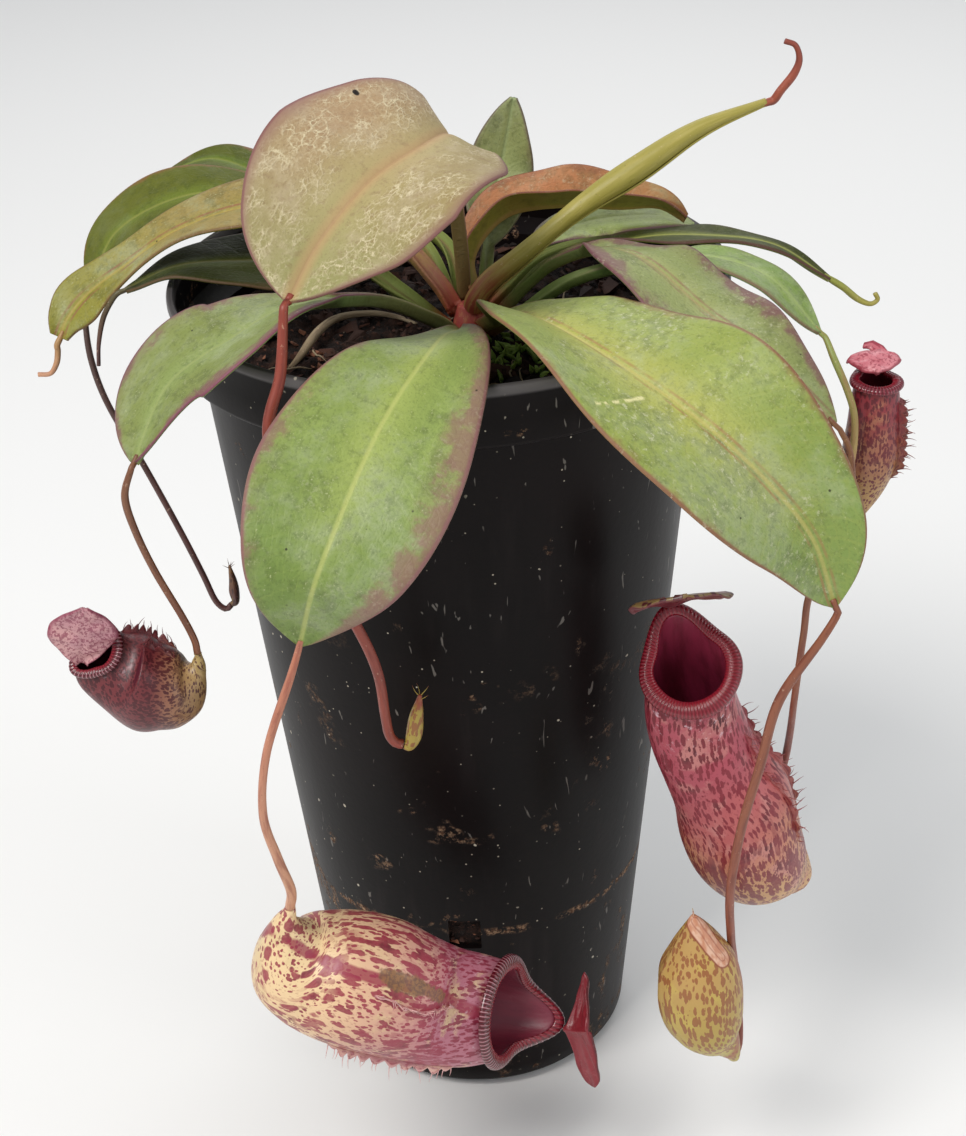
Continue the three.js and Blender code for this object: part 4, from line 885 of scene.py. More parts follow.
def stem_look(name, near, far, streak, rough=0.4, fade=(0.0, 1.0)):
    """A smooth stalk or tendril that changes colour along its length."""
    look = Look(name)
    flow, share = look.flow(), look.stored("share")
    long = look.scaled(flow, 0.12, 1, 1)
    colour = look.blend(near, far, (share + look.noise(flow, 90, 2) * 0.2 - 0.1).over(*fade))
    colour = colour.coat(streak, look.noise(long, 900, 3).over(0.42, 0.7) * 0.6)
    colour = colour.coat("#e5c3a5", look.noise(flow, 700, 3, 0.7).over(0.64, 0.72) * 0.35)
    colour = colour.coat("#2e1510", look.noise(flow, 1200, 3, 0.7).over(0.62, 0.7) * 0.35)
    return look.done(colour, rough + look.noise(flow, 500, 2) * 0.15, look.noise(long, 1300, 3), 0.25, 0.0004)


# ------------------------------------------------------------------ pitcher looks
def cup_look(name, tones, layers, frill, foot_end=0.3, reach=(0.35, 0.8), ribs=(), scorch=(), pale=None,
             scuff=0.0):
    """A blotched cup.

    tones are those of its foot, body, mouth, marks, dark marks and inside. layers list the marks: how fine,
    how drawn out, how broad, and where along the cup they lie. ribs and scorch are lines of places.
    """
    foot, body, mouth, mark, dark, inside = tones.split()
    look = Look(name)
    flow, share, within = look.flow(), look.stored("share"), look.stored("within")
    broad, cloud = look.noise(flow, 45, 3), look.noise(flow, 130, 4, 0.6)
    grain = look.noise(flow, 1100, 3, 0.6)
    colour = look.blend(foot, body, (share + broad * 0.3 - 0.15).over(foot_end - 0.15, foot_end + 0.25))
    colour = colour.coat(mouth, (share + broad * 0.35 - 0.17).over(reach[0], reach[1]))
    if pale:
        colour = colour.coat(pale, (cloud * 0.6 + broad * 0.5).over(0.54, 0.66) * 0.75)
    marks = 0.0
    for scale, drawn, broadness, start, end in layers:
        there = share + (broad - 0.5) * 0.35
        weight = there.over(start - 0.1, start + 0.08) * there.over(end + 0.1, end - 0.08)
        where = look.scaled(bent(look, flow, scale * 1.1, 0.45 / scale), drawn, 1, 1)
        size = look.noise(flow, scale * 0.5, 2) * 0.7 + (broadness - 0.35)
        spot = (look.cells(where, scale) - size).over(0.04, -0.04)
        marks = look.maths("MAXIMUM", marks, spot * weight)
    colour = colour.coat(mark, marks * (0.72 + grain * 0.35))
    colour = colour.coat(dark, marks * (cloud.over(0.5, 0.72) * 0.75 + share.over(0.75, 1.0) * 0.3))
    fleck = look.noise(look.scaled(flow, 0.5, 1, 1), 1500, 2).over(0.58, 0.66)
    colour = colour.coat(mark, fleck * 0.4)
    for line in ribs:
        away = near_line(look, line) + (cloud - 0.5) * 0.001
        colour = colour.coat(mark, away.over(0.0022, 0.0014) * 0.85)
    for line, broadness in scorch:
        away = near_line(look, line) + (look.noise(flow, 300, 3, 0.7) - 0.5) * 0.0035
        brown = look.blend("#8d6238", "#6d4a34", grain.over(0.4, 0.6))
        colour = colour.coat(brown, away.over(broadness + 0.0006, broadness - 0.0004) * 0.85)
    if scuff:
        worn = look.noise(look.scaled(flow, 1, 0.3, 1), 500, 4, 0.7).over(0.56, 0.7)
        colour = colour.coat("#d8b8c0", worn * share.over(0.82, 0.95) * scuff)
    streaky = look.noise(look.scaled(flow, 0.3, 1, 1), 260, 3)
    inner = look.blend(inside, dark, streaky.over(0.35, 0.7) * 0.6)
    inner = inner.coat(mouth, (share + look.noise(flow, 300, 3) * 0.2).over(0.75, 1.1) * 0.18)
    colour = colour.coat(inner, within)
    frilly = look.blend(frill, mark, look.noise(flow, 500, 3, 0.6).over(0.5, 0.62) * 0.6)
    colour = colour.coat(frilly, look.stored("frill") * 0.85)
    drawn_out = look.noise(look.scaled(flow, 0.35, 1, 1), 500, 3)
    height = cloud * 0.6 + drawn_out * 0.35 + marks * 0.15 + grain * 0.1
    return look.done(colour, 0.32 + grain * 0.16, height, 0.35, 0.0006, Coat_Weight=0.1, Coat_Roughness=0.25)


def lip_look(name, deep, ridge, shown):
    """Glossy dark red, darker between the ribs, with a painted pale highlight along each rib towards the
    outer edge.
    """
    look = Look(name)
    where, rib, spread = look.place(), look.stored("rib"), look.stored("spread")
    tone = look.noise(where, 300, 3)
    colour = look.blend(deep, "#8f1c2c", spread.over(0.62, 0.25) * 0.8)
    colour = colour.coat("#35050e", rib.over(0.4, 0.0) * shown * 0.8)
    edges = spread.over(0.45, 0.8) + spread.over(0.14, 0.02) * 0.5
    # A painted highlight: a pale line along the crest of each rib, near the lip's edges.
    line = rib.over(0.72, 1.0) * edges * tone.over(0.3, 0.5)
    colour = colour.coat(ridge, line * shown)
    return look.done(colour, 0.2 + tone * 0.14, tone, 0.1, 0.0003, Coat_Weight=0.35, Coat_Roughness=0.15)


def lid_look(name, tones, dense=0.5, fine=420, tip=None):
    """A mottled lid. tones are its two upper colours, its spots and its under side."""
    upper, second, spot, under = tones.split()
    look = Look(name)
    flow, below, side, share = look.flow(), look.stored("under"), look.stored("side"), look.stored("share")
    tone = look.noise(flow, 110, 4, 0.6)
    colour = look.blend(upper, second, tone.over(0.38, 0.62))
    spots = look.noise(bent(look, flow, fine, 0.0012), fine, 3, 0.6).over(1 - dense, 1.05 - dense)
    colour = colour.coat(spot, spots * 0.75)
    colour = colour.coat("#e3b8b4", look.noise(flow, fine * 1.7, 3, 0.7).over(0.58, 0.68) * 0.3)
    colour = colour.coat(spot, side.size().over(0.86, 1.0) * 0.7)
    if tip:
        colour = colour.coat(tip, share.over(0.5, 0.7) * spots.over(0.9, 0.2) * 0.9)
    colour = colour.coat(under, below.over(0.4, 0.6) * 0.8)
    return look.done(colour, 0.38 + tone * 0.1, tone + spots * 0.3, 0.35, 0.0005, Coat_Weight=0.1)


# ------------------------------------------------------------------ pot
POT_HEIGHT, RIM_RADIUS, COLLAR, WALL_TOP, BASE_RADIUS, POT_WALL = 270, 80, 18, 72.6, 48.6, 1.8
LEDGE = POT_HEIGHT - COLLAR
SIDE_HOLE_HEIGHT, SIDE_HOLE = 71, (24, 10, 12)  # the cutter's depth, width and height
SIDE_HOLE_TURNS = [math.radians(-95 + 90 * i) for i in range(4)]
DRAIN_HOLES, DRAIN_RING, DRAIN_RADIUS = 6, 34, 4.5
STAIN_HEIGHT, RIM_HIGHLIGHT = 0.0715, 0.2685  # in metres, as the looks read places


def wall_radius(z):
    """The pot's outer radius at a height."""
    return BASE_RADIUS + (WALL_TOP - BASE_RADIUS) * z / LEDGE


def pot_shape():
    """The pot's wall turned round its axis: up the outside over ledge and rim, and down the inside."""
    collar, facets = RIM_RADIUS - 0.6, 180
    foot = [(0.5, 0), (38, 0), (42, 0.0), (45.2, 0.4), (47.4, 1.6), (wall_radius(4), 3.6)]
    wall = [(wall_radius(z), z) for z in (8, 40, 80, 130, 190, 236, LEDGE - 3)]
    ledge = [
        (WALL_TOP - 0.1, LEDGE - 1.2), (WALL_TOP + 0.4, LEDGE - 0.2), (collar - 1.6, LEDGE),
        (collar - 0.7, LEDGE + 0.15), (collar - 0.2, LEDGE + 0.6), (collar, LEDGE + 1.4),
        (collar + 0.05, LEDGE + 8), (collar, POT_HEIGHT - 3.6), (collar + 0.1, POT_HEIGHT - 3.1),
    ]
    lip = [(0.15, 2.6), (0, 2.0), (0, 0.9), (0.3, 0.25), (1.0, 0), (1.8, 0.2), (2.3, 1.0)]
    lip = [(RIM_RADIUS - r, POT_HEIGHT - z) for r, z in lip]
    inside = [(collar - POT_WALL, POT_HEIGHT - 2.6), (collar - POT_WALL, LEDGE + 5),
              (wall_radius(LEDGE) - POT_WALL, LEDGE + 1.8)]
    inside += [(wall_radius(z) - POT_WALL, z) for z in (200, 90, 6)]
    inside += [(wall_radius(0) - POT_WALL - 2.5, 2.4), (0.5, 2.2)]
    profile = np.array(foot + wall + ledge + lip + inside, float)
    angle = np.linspace(0, 2 * np.pi, facets, endpoint=False)[None]
    r, z = profile[:, :1], profile[:, 1:]
    bend = 1 + 0.0012 * np.sin(2 * angle + 0.6) * (z / POT_HEIGHT)
    points = np.stack([r * bend * np.cos(angle), r * bend * np.sin(angle), z + 0 * angle], -1)
    shape = Shape()
    shape.grid(points, wrap=True, ends=(0, -1))
    return shape


def cut_holes(pot):
    """Four side holes low on the wall and six drain holes in the floor."""
    work = bmesh.new()
    for turn in SIDE_HOLE_TURNS:
        out = Matrix.Translation((wall_radius(SIDE_HOLE_HEIGHT) * MM, 0, SIDE_HOLE_HEIGHT * MM))
        size = Matrix.Diagonal((*(side * MM for side in SIDE_HOLE), 1))
        bmesh.ops.create_cube(work, size=1.0, matrix=Matrix.Rotation(turn, 4, "Z") @ out @ size)
    radius = DRAIN_RADIUS * MM
    for i in range(DRAIN_HOLES):
        turn = 2 * math.pi * (i + 0.5) / DRAIN_HOLES
        place = Matrix.Translation((DRAIN_RING * MM * math.cos(turn), DRAIN_RING * MM * math.sin(turn), 0))
        bmesh.ops.create_cone(work, cap_ends=True, segments=32, radius1=radius, radius2=radius,
                              depth=12 * MM, matrix=place)
    mesh = bpy.data.meshes.new("hole_cutter")
    work.to_mesh(mesh)
    work.free()
    cutter = bpy.data.objects.new("hole_cutter", mesh)
    bpy.context.scene.collection.objects.link(cutter)
    change = pot.modifiers.new("holes", "BOOLEAN")
    change.operation, change.object, change.solver = "DIFFERENCE", cutter, "EXACT"
    bpy.context.view_layer.update()
    cut = bpy.data.meshes.new_from_object(pot.evaluated_get(bpy.context.evaluated_depsgraph_get()))
    pot.modifiers.clear()
    pot.data = cut
    bpy.data.objects.remove(cutter)
    cut.set_sharp_from_angle(angle=math.radians(40))


def pot_look():
    """Black moulded plastic with water marks, specks and crumbs of mix, a brown stain ring low down, and a
    painted grey highlight along the rim.
    """
    look = Look("pot_plastic")
    where = look.place()
    height = look.part_of(where, "Z")
    broad = look.noise(where, 14, 4, 0.6)
    fine = look.noise(where, 420, 4, 0.6)
    streaks = look.noise(look.scaled(where, 1, 1, 0.1), 110, 4, 0.6)
    colour = look.blend("#0c0808", "#150f0f", broad.over(0.35, 0.7))
    colour = colour.coat("#241e1e", streaks.over(0.5, 0.75) * look.noise(where, 22, 2).over(0.42, 0.62) * 0.5)
    crust = look.noise(where, 420, 5, 0.72)
    ring = (height - STAIN_HEIGHT + (broad - 0.5) * 0.008).size().over(0.002, 0.0004)
    stain = ring * crust.over(0.46, 0.54) * look.noise(where, 45, 2).over(0.38, 0.5)
    clump = look.noise(where, 38, 3, 0.6).over(0.6, 0.66) * crust.over(0.48, 0.56) * height.over(0.2, 0.1)
    small = look.noise(where, 52, 3, 0.6).over(0.64, 0.69) * crust.over(0.5, 0.58)
    clump = look.maths("MAXIMUM", clump, small)
    brown = look.blend("#4d3528", "#a08268", look.noise(where, 900, 3, 0.7).over(0.4, 0.66))
    dirt = look.maths("MAXIMUM", stain, clump)
    colour = colour.coat(brown, dirt * 0.95)
    chosen = look.noise(where, 65, 3, 0.6)
    fleck = look.cells(where, 240).over(0.085, 0.04) * chosen.over(0.44, 0.56)
    large = look.cells(bent(look, where, 300, 0.002), 120).over(0.075, 0.045) * chosen.over(0.5, 0.58)
    colour = colour.coat("#cfc5b2", look.maths("MAXIMUM", fleck, large) * 0.8)
    scratch = look.noise(look.scaled(where, 1, 1, 0.25), 240, 2, 0.5, 2.0).over(0.7, 0.74)
    colour = colour.coat("#8d8780", scratch * 0.5)
    # A painted highlight: a grey band round the rim's edge, where light catches it.
    rim = (height - RIM_HIGHLIGHT).size().over(0.0022, 0.0008)
    colour = colour.coat("#6e6a6a", rim * 0.7)
    rough = 0.27 + broad * 0.12 + dirt * 0.4 + fleck * 0.3 + streaks * 0.1
    relief = fine * 0.35 + broad * 0.3 + dirt * 1.2 + fleck * 0.8
    return look.done(colour, rough, relief, 0.22, 0.0006, Specular_IOR_Level=0.1)


pot = piece("pot_shell", pot_shape(), pot_look(), "pot", "pot_plastic")
cut_holes(pot)


# ------------------------------------------------------------------ potting mix
MIX_LEVEL, STEM_AT = 250, 6  # the height of its top, and how far right of the pot's axis the stem stands


def soil_height(x, y):
    """The height of the mix, which rolls a little."""
    roll = 0.5 * np.sin(x * 0.21 + 0.8) * np.cos(y * 0.17) + 0.3 * np.sin(x * 0.09 - y * 0.13 + 2)
    return MIX_LEVEL + 1.6 * (roll + 0.2 * np.cos(y * 0.37 + x * 0.31))


def near_stem(x, y, reach):
    """Whether a place on the mix is nearer to the stem than reach."""
    return math.hypot(x - STEM_AT, y) < reach


def soil_shape(rng):
    """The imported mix: its sides inside the pot's wall and a rough top, sunk round the stem."""
    cols = 160
    angle = np.linspace(0, 2 * np.pi, cols, endpoint=False)[None]
    inset = ((40, 2.5), (SIDE_HOLE_HEIGHT, 2.4), (130, 2.5), (200, 2.5), (246, 2.6))
    low = np.array([(44, 2.6), (46, 6)] + [(wall_radius(z) - gap, z) for z, gap in inset], float)
    sides = np.stack([low[:, :1] * np.cos(angle), low[:, :1] * np.sin(angle), low[:, 1:] + 0 * angle], -1)
    radius = np.linspace(69.2, 0.5, 70)[:, None]
    x, y = radius * np.cos(angle), radius * np.sin(angle)
    z = soil_height(x, y)
    for _ in range(14):
        turn, pitch, phase = rng.uniform(0, 6.3), rng.uniform(0.35, 1.6), rng.uniform(0, 6.3)
        z = z + 0.22 * np.sin((x * np.cos(turn) + y * np.sin(turn)) * pitch + phase)
    z = z + rng.normal(size=z.shape) * 0.18
    z = np.where(np.hypot(x - STEM_AT, y) < 7, z - 1.0, z)
    shape = Shape()
    shape.grid(np.concatenate([sides, np.stack([x, y, z], -1)]), wrap=True, ends=(0, -1))
    return shape


def chip(shape, rng, middle, size, flat, tone):
    """One crumb of bark: the hull of a handful of points in a slab."""
    work = bmesh.new()
    spin = Matrix.Rotation(rng.uniform(0, 6.3), 3, "Z") @ Matrix.Rotation(rng.normal() * 0.5, 3, "X")
    spin = spin @ Matrix.Rotation(rng.normal() * 0.4, 3, "Y")
    for corner in rng.uniform(-1, 1, size=(12, 3)) * np.array(size) / 2 * np.array([1, 1, flat]):
        work.verts.new(spin @ Vector(corner) + Vector(middle))
    bmesh.ops.convex_hull(work, input=list(work.verts))
    loose = [v for v in work.verts if not v.link_faces]
    bmesh.ops.delete(work, geom=loose, context="VERTS")
    work.verts.index_update()
    points = [tuple(v.co) for v in work.verts]
    faces = [[v.index for v in face.verts] for face in work.faces]
    work.free()
    if faces:
        shape.add(points, faces, tone=np.full(len(points), tone))


def soil_crumbs(rng):
    """Bark, peat crumbs and coir bits strewn over the mix and caught at the side holes."""
    shape = Shape()
    for _ in range(900):
        distance, bearing = 69 * math.sqrt(rng.uniform(0.01, 1)), rng.uniform(0, 2 * math.pi)
        x, y = distance * math.cos(bearing), distance * math.sin(bearing)
        if near_stem(x, y, 9):
            continue
        long = rng.uniform(1.2, 4.5) if rng.uniform() < 0.8 else rng.uniform(4, 11)
        height = soil_height(x, y) + rng.uniform(-0.3, 0.9)
        reach = math.hypot(x, y) + long / 2
        if reach > 69.5:
            x, y = x * (69.5 - long / 2) / distance, y * (69.5 - long / 2) / distance
        reddish = -60 < x < -32 and -28 < y < 8
        tone = rng.uniform(0.35, 1) if reddish and rng.uniform() < 0.6 else rng.uniform(0, 0.45)
        size = (long, long * rng.uniform(0.35, 0.8), long * rng.uniform(0.25, 0.5))
        chip(shape, rng, (x, y, height), size, 0.9, tone)
    for turn in SIDE_HOLE_TURNS:
        for k in range(22):
            across, up = rng.uniform(-4.6, 4.6), SIDE_HOLE_HEIGHT + rng.uniform(-5.6, 5)
            deep = wall_radius(up) - 2.2 - rng.uniform(0, 1.6)
            x = deep * math.cos(turn) - across * math.sin(turn)
            y = deep * math.sin(turn) + across * math.cos(turn)
            tone = rng.uniform(0, 0.3) if k % 3 else rng.uniform(0.6, 1.2)
            chip(shape, rng, (x, y, up), (rng.uniform(1, 4), rng.uniform(1, 2.5), rng.uniform(1, 2)), 1, tone)
    return shape


def soil_look():
    """Dark damp mix with brown crumbs and a few pale grits."""
    look = Look("potting_mix")
    where = look.place()
    crumb, fine = look.noise(where, 190, 5, 0.7), look.noise(where, 1100, 4, 0.7)
    colour = look.blend("#120b09", "#3b251c", crumb.over(0.4, 0.72))
    colour = colour.coat("#6b4638", fine.over(0.58, 0.72) * 0.6)
    grit = look.cells(where, 330).over(0.1, 0.04) * look.noise(where, 120, 1).over(0.52, 0.6)
    colour = colour.coat("#b7a58c", grit * 0.6)
    return look.done(colour, 0.85 + fine * 0.1, crumb + fine * 0.6, 0.9, 0.0015, Specular_IOR_Level=0.25)


def crumb_look():
    """Bark from near black to reddish brown, by the tone stored with each crumb."""
    look = Look("bark_crumbs")
    where, tone = look.place(), look.stored("tone")
    grain = look.noise(look.scaled(where, 1, 0.3, 1), 900, 4, 0.7)
    colour = look.blend("#170e0b", "#4a2d22", tone.over(0.0, 0.45))
    colour = colour.coat("#8a5a43", tone.over(0.5, 1.0))
    colour = colour.coat("#0e0807", grain.over(0.55, 0.75) * 0.6)
    return look.done(colour, 0.8, grain, 0.6, 0.0006, Specular_IOR_Level=0.3)


def dry_root_shape(rng):
    """A pale dry root that lies in a curve over the mix, with finer ones about it."""
    shape = Shape()
    main = [(-46, -21, 250.6), (-43, -16, 252.2), (-38, -1, 253.4), (-32.5, 8, 253.2), (-23.7, 11.5, 252.6),
            (-16, 11, 251.4), (-10, 8, 250)]
    tube(Route(main), [0.7, 1.15, 1.3, 1.2, 1.0, 0.8, 0.5], 60, 10, shape)
    for _ in range(26):
        x, y = rng.uniform(-45, 40), rng.uniform(-50, 15)
        if near_stem(x, y, 10) or math.hypot(x, y) > 62:
            continue
        way, points = rng.uniform(0, 6.3), []
        for k in range(5):
            points.append((x, y, soil_height(x, y) + (1.2 if k % 2 else 0.3) + rng.uniform(0, 1.0)))
            way += rng.uniform(-0.7, 0.7)
            x, y = x + 3.6 * math.cos(way), y + 3.6 * math.sin(way)
        if max(math.hypot(p[0], p[1]) for p in points) < 67:
            tube(Route(points), [0.12, 0.28, 0.3, 0.2, 0.08], 24, 6, shape)
    return shape


def seedling_shape(rng):
    """Tiny green seedlings and moss on the mix, right of the crown."""
    shape = Shape()
    for _ in range(46):
        x, y = 18 + rng.normal() * 6.5, -22 + rng.normal() * 8
        if near_stem(x, y, 9):
            continue
        foot = np.array([x, y, soil_height(x, y)])
        for _ in range(rng.integers(2, 5)):
            way = unit(np.array([rng.normal(), rng.normal(), rng.uniform(0.8, 2.2)]))
            long = rng.uniform(1.8, 5.5)
            tip = foot + way * long + np.array([0, 0, -0.15 * long])
            flat = Route([foot, foot + way * long * 0.5, tip])
            tube(flat, [0.12, rng.uniform(0.4, 0.8), 0.08], 8, 6, shape)
    return shape


MIX = ("potting_mix", "potting_mix")  # the node that these pieces stand for, and their finish
rng = np.random.default_rng(41)
piece("soil_body", soil_shape(rng), soil_look(), *MIX, smooth=False)
piece("soil_crumbs", soil_crumbs(rng), crumb_look(), *MIX, smooth=False)
root_look = stem_look("dry_root", "#8d7a5e", "#b7a588", "#5d4a38", 0.75)
piece("dry_roots", dry_root_shape(rng), root_look, *MIX)
seedling_look = stem_look("seedling_green", "#5f7f2f", "#96b04c", "#3f5a22", 0.6)
piece("seedlings", seedling_shape(rng), seedling_look, *MIX)


# ------------------------------------------------------------------ stem and leaves
def stem_shape():
    """The short stem, with a slow dimple that winds round it."""
    course = Route([(STEM_AT, 0, z) for z in (240, 246, 251, 255, 259)])

    def dimple(t, angle):
        return 1 + 0.03 * np.sin(3 * angle + 9 * t)

    return tube(course, [5.5, 5.4, 5.6, 5.3, 3.6], 40, 48, dimple=dimple)


tissue = stem_look("stem_tissue", "#6b4a34", "#b8504a", "#c98a5e", 0.45)
piece("stem_core", stem_shape(), tissue, "stem", "stem_tissue")

# Each leaf: its finish, its colours (main, second, glow by the midrib, midrib, under side), and the rest.
LEAF_LOOKS = {
    "leaf_front": ("leaf_green", "#809247 #90a256 #a3b05c #bcc070 #7f8f50", dict(
        margin="#8a5c5c", margin_side=-1, margin_width=0.19, blush=0.68, base="#747f44", end="#6c843e",
        stalk="#8a7a48")),
    "leaf_front_right": ("leaf_green", "#8a9846 #9aa654 #b6b45a #c0b268 #84904e", dict(
        margin="#8a5a44", margin_width=0.05, blush=0.35, glow_width=0.5, dust=0.45, lines="#a0704c",
        stalk="#a0694c", end="#7d944c",
        scars=[[(34.5, -99.5, 274.2), (40.1, -96.5, 272.8), (45.8, -92.8, 271.5)]])),
    "leaf_front_left": ("leaf_green", "#788440 #848e4c #8fa05c #9aa465 #74864c", dict(
        margin="#7d4456", margin_width=0.15, blush=0.7, stalk="#7d7a48")),
    "leaf_right": ("leaf_green", "#838e50 #949c60 #a0a464 #a08a60 #768650", dict(
        margin="#74464e", margin_width=0.26, blush=0.8, dust=0.4, base="#7a6650", lines="#8a5c50",
        stalk="#7d8f4a")),
    "leaf_right_back": ("leaf_green", "#76903f #849a4a #94a854 #9fb06a #71914d", dict(
        margin="#7a624c", margin_width=0.1, blush=0.4, stalk="#7d8f4a")),
    "leaf_left": ("leaf_olive", "#948044 #a08b4e #9d8f42 #b09a4a #84802e", dict(
        margin="#74552e", margin_width=0.08, blush=0.4, end="#87862a", lines="#8f4a44", stalk="#a06a58")),
    "leaf_left_back": ("leaf_dark_green", "#545a18 #62661e #707f2c #8f8f48 #66742c", dict(
        powder=0.25, margin="#8b5b3e", margin_width=0.08, blush=0.5)),
    "leaf_left_far": ("leaf_dark_green", "#4c5414 #585e1a #687f2a #83873f #5f7227", dict(
        powder=0.25, margin="#8b5b4e", margin_width=0.1, blush=0.6)),
    "leaf_left_low": ("leaf_dark_green", "#24280a #30340f #505724 #6a6636 #424b20", dict(
        powder=0.25, margin="#5b4630", margin_width=0.08, blush=0.4)),
    "leaf_blush_arched": ("leaf_blush", "#b8784e #c08a60 #b88c58 #b58c58 #94893a", dict(
        margin="#85503f", margin_width=0.12, blush=0.45, end="#a0713a", dust=0.3, lines="#94543c")),
    "leaf_back_light": ("leaf_green", "#8fa24e #9fae5c #abb868 #abb97a #88a160", dict(
        margin="#7a565c", margin_width=0.14, blush=0.6, dust=0.3)),
    "leaf_back_narrow": ("leaf_dark_green", "#34380f #454a18 #7d843a #a5a758 #646a2e", dict(
        powder=0.25, margin="#5c3f38", margin_width=0.1, blush=0.5)),
    "leaf_upright": ("leaf_green", "#87925a #959c64 #9ca46a #93a273 #75895a", dict(
        margin="#6d5f4e", margin_width=0.1, blush=0.4)),
}
for number, (name, leaf) in enumerate(LEAVES.items()):
    shape = leaf_shape(leaf, number + 1)
    if name == "leaf_arched_bronze":
        piece(name + "_blade", shape, dusty_leaf_look("leaf_bronze"), name, "leaf_bronze")
    else:
        slot, tones, more = LEAF_LOOKS[name]
        skin = leaf_look(name + "_skin", tones, neck=leaf["stalk"], **more)
        piece(name + "_blade", shape, skin, name, slot)
young = stem_look("leaf_young", "#9a4838", "#9f9442", "#b3a558", 0.4, (0.03, 0.24))
piece("leaf_rolled_spike", rolled_leaf_shape(), young, "leaf_rolled", "leaf_young")


# ------------------------------------------------------------------ tendrils
# Each tendril's colours near the leaf, far from it and in streaks, and its finish.
TENDRIL_LOOKS = {
    "tendril_front": ("#b8745a", "#d29c7c", "#8f4a3c", "tendril_salmon"),
    "tendril_arched_bronze": ("#8c3c2c", "#8f4234", "#642620", "tendril_red"),
    "tendril_front_right": ("#8b5238", "#93503f", "#6b3228", "tendril_brown"),
    "tendril_right": ("#8d6040", "#8a4238", "#6b3228", "tendril_brown"),
    "tendril_front_left": ("#7d5238", "#8d5a40", "#5e3528", "tendril_brown"),
    "tendril_left": ("#a5804e", "#cf9a78", "#8a5a40", "tendril_salmon"),
    "tendril_left_back": ("#4d3a34", "#5d3a36", "#3a2522", "tendril_dark"),
    "tendril_left_low": ("#56502c", "#5d3a36", "#3a2522", "tendril_dark"),
    "tendril_right_back": ("#8d9a52", "#c08a5e", "#9a6a48", "tendril_salmon"),
    "tendril_back_narrow": ("#8f9440", "#a59a4a", "#75702f", "tendril_mustard"),
    "tendril_rolled": ("#a3523a", "#8f4434", "#6b3026", "tendril_red"),
}


def leaf_tip(name):
    """Where a leaf ends, the way it heads there and the way its upper side faces."""
    rib = Route(ROLLED["rib"] if name == "leaf_rolled" else LEAVES[name]["rib"])
    up = (0, 0, 1) if name == "leaf_rolled" else LEAVES[name]["face"][-1]
    return *end_of(rib), unit(np.array(up, float))


courses = {}
for name, tendril in TENDRILS.items():
    point, ahead, up = leaf_tip(tendril["leaf"])
    start = point + ahead * 0.4 - up * 0.4
    courses[name] = Route([start, start + ahead * 2, *tendril["points"]])
    grown = Route([start - ahead * 2.5, start, start + ahead * 2, *tendril["points"]])
    near, far, streak, slot = TENDRIL_LOOKS[name]
    first, last = tendril["radii"]
    girths = [first * 0.7, first, first, first, (first + last) / 2, last, last]
    look = stem_look(name + "_skin", near, far, streak)
    piece(name + "_stalk", tube(grown, girths, 130, 16), look, name, slot)


def pitcher_course(part):
    """A pitcher's axis, run on from the end of its tendril."""
    point, ahead = end_of(courses[part["tendril"]])
    start = point + ahead * 0.4
    return Route([start, start + ahead * 1.5, *part["points"]])


# ------------------------------------------------------------------ pitchers
# The raised line over the front pitcher.
RIB_LINE = [(-62, -101.5, 116), (-58.3, -103.8, 119.2), (-50.2, -107.7, 114.8), (-39.3, -111.7, 110.4),
            (-28.4, -113.1, 106.5), (-14.8, -110.6, 99.7), (-2.6, -106.4, 86.6)]
# What cup_look reads for each cup. A scorch is a line of places and half the width of the mark.
CUP_LOOKS = {
    "pitcher_front": dict(
        tones="#ecce9e #deb090 #b46c7c #962640 #5c1024 #80142f",
        layers=[(230, 0.55, 0.35, -0.2, 0.36), (500, 0.2, 0.42, 0.3, 0.8), (860, 0.24, 0.44, 0.6, 1.3),
                (820, 0.5, 0.34, -0.2, 0.75)],
        frill="#deb0ac", reach=(0.4, 0.8), pale="#dcc190", ribs=[RIB_LINE], scuff=0.4,
        scorch=[([(-26, -112.6, 107.5), (-24, -112.4, 104.6)], 0.0024),
                ([(-24, -112.4, 105.4), (-18.5, -111.6, 102)], 0.0028),
                ([(-18.5, -111.6, 102), (-12, -110.6, 97)], 0.0018)]),
    "pitcher_right": dict(
        tones="#cda06a #bd6a5e #ac4856 #7c1226 #500a16 #9c2c4c",
        layers=[(360, 0.16, 0.38, 0.05, 0.5), (860, 0.26, 0.46, 0.25, 1.3), (800, 0.6, 0.34, -0.2, 0.45)],
        frill="#8f3f3c", foot_end=0.36, reach=(0.42, 0.78), pale="#c4827a", scuff=1.0),
    "pitcher_far_right": dict(
        tones="#b08a55 #9c5a44 #8c2a34 #651423 #430a16 #5c0f20",
        layers=[(1200, 0.6, 0.42, -0.2, 0.75), (1300, 0.35, 0.46, 0.5, 1.3)],
        frill="#7c3a30", foot_end=0.35, reach=(0.5, 0.85), pale="#b07a58"),
    "pitcher_left": dict(
        tones="#b0955e #9c6f52 #6e2c30 #4a141c #360810 #4d1022",
        layers=[(1000, 0.6, 0.36, -0.2, 0.6), (1150, 0.5, 0.5, 0.35, 1.3)], frill="#6d2a2e", foot_end=0.2,
        reach=(0.34, 0.56), scuff=0.3),
}
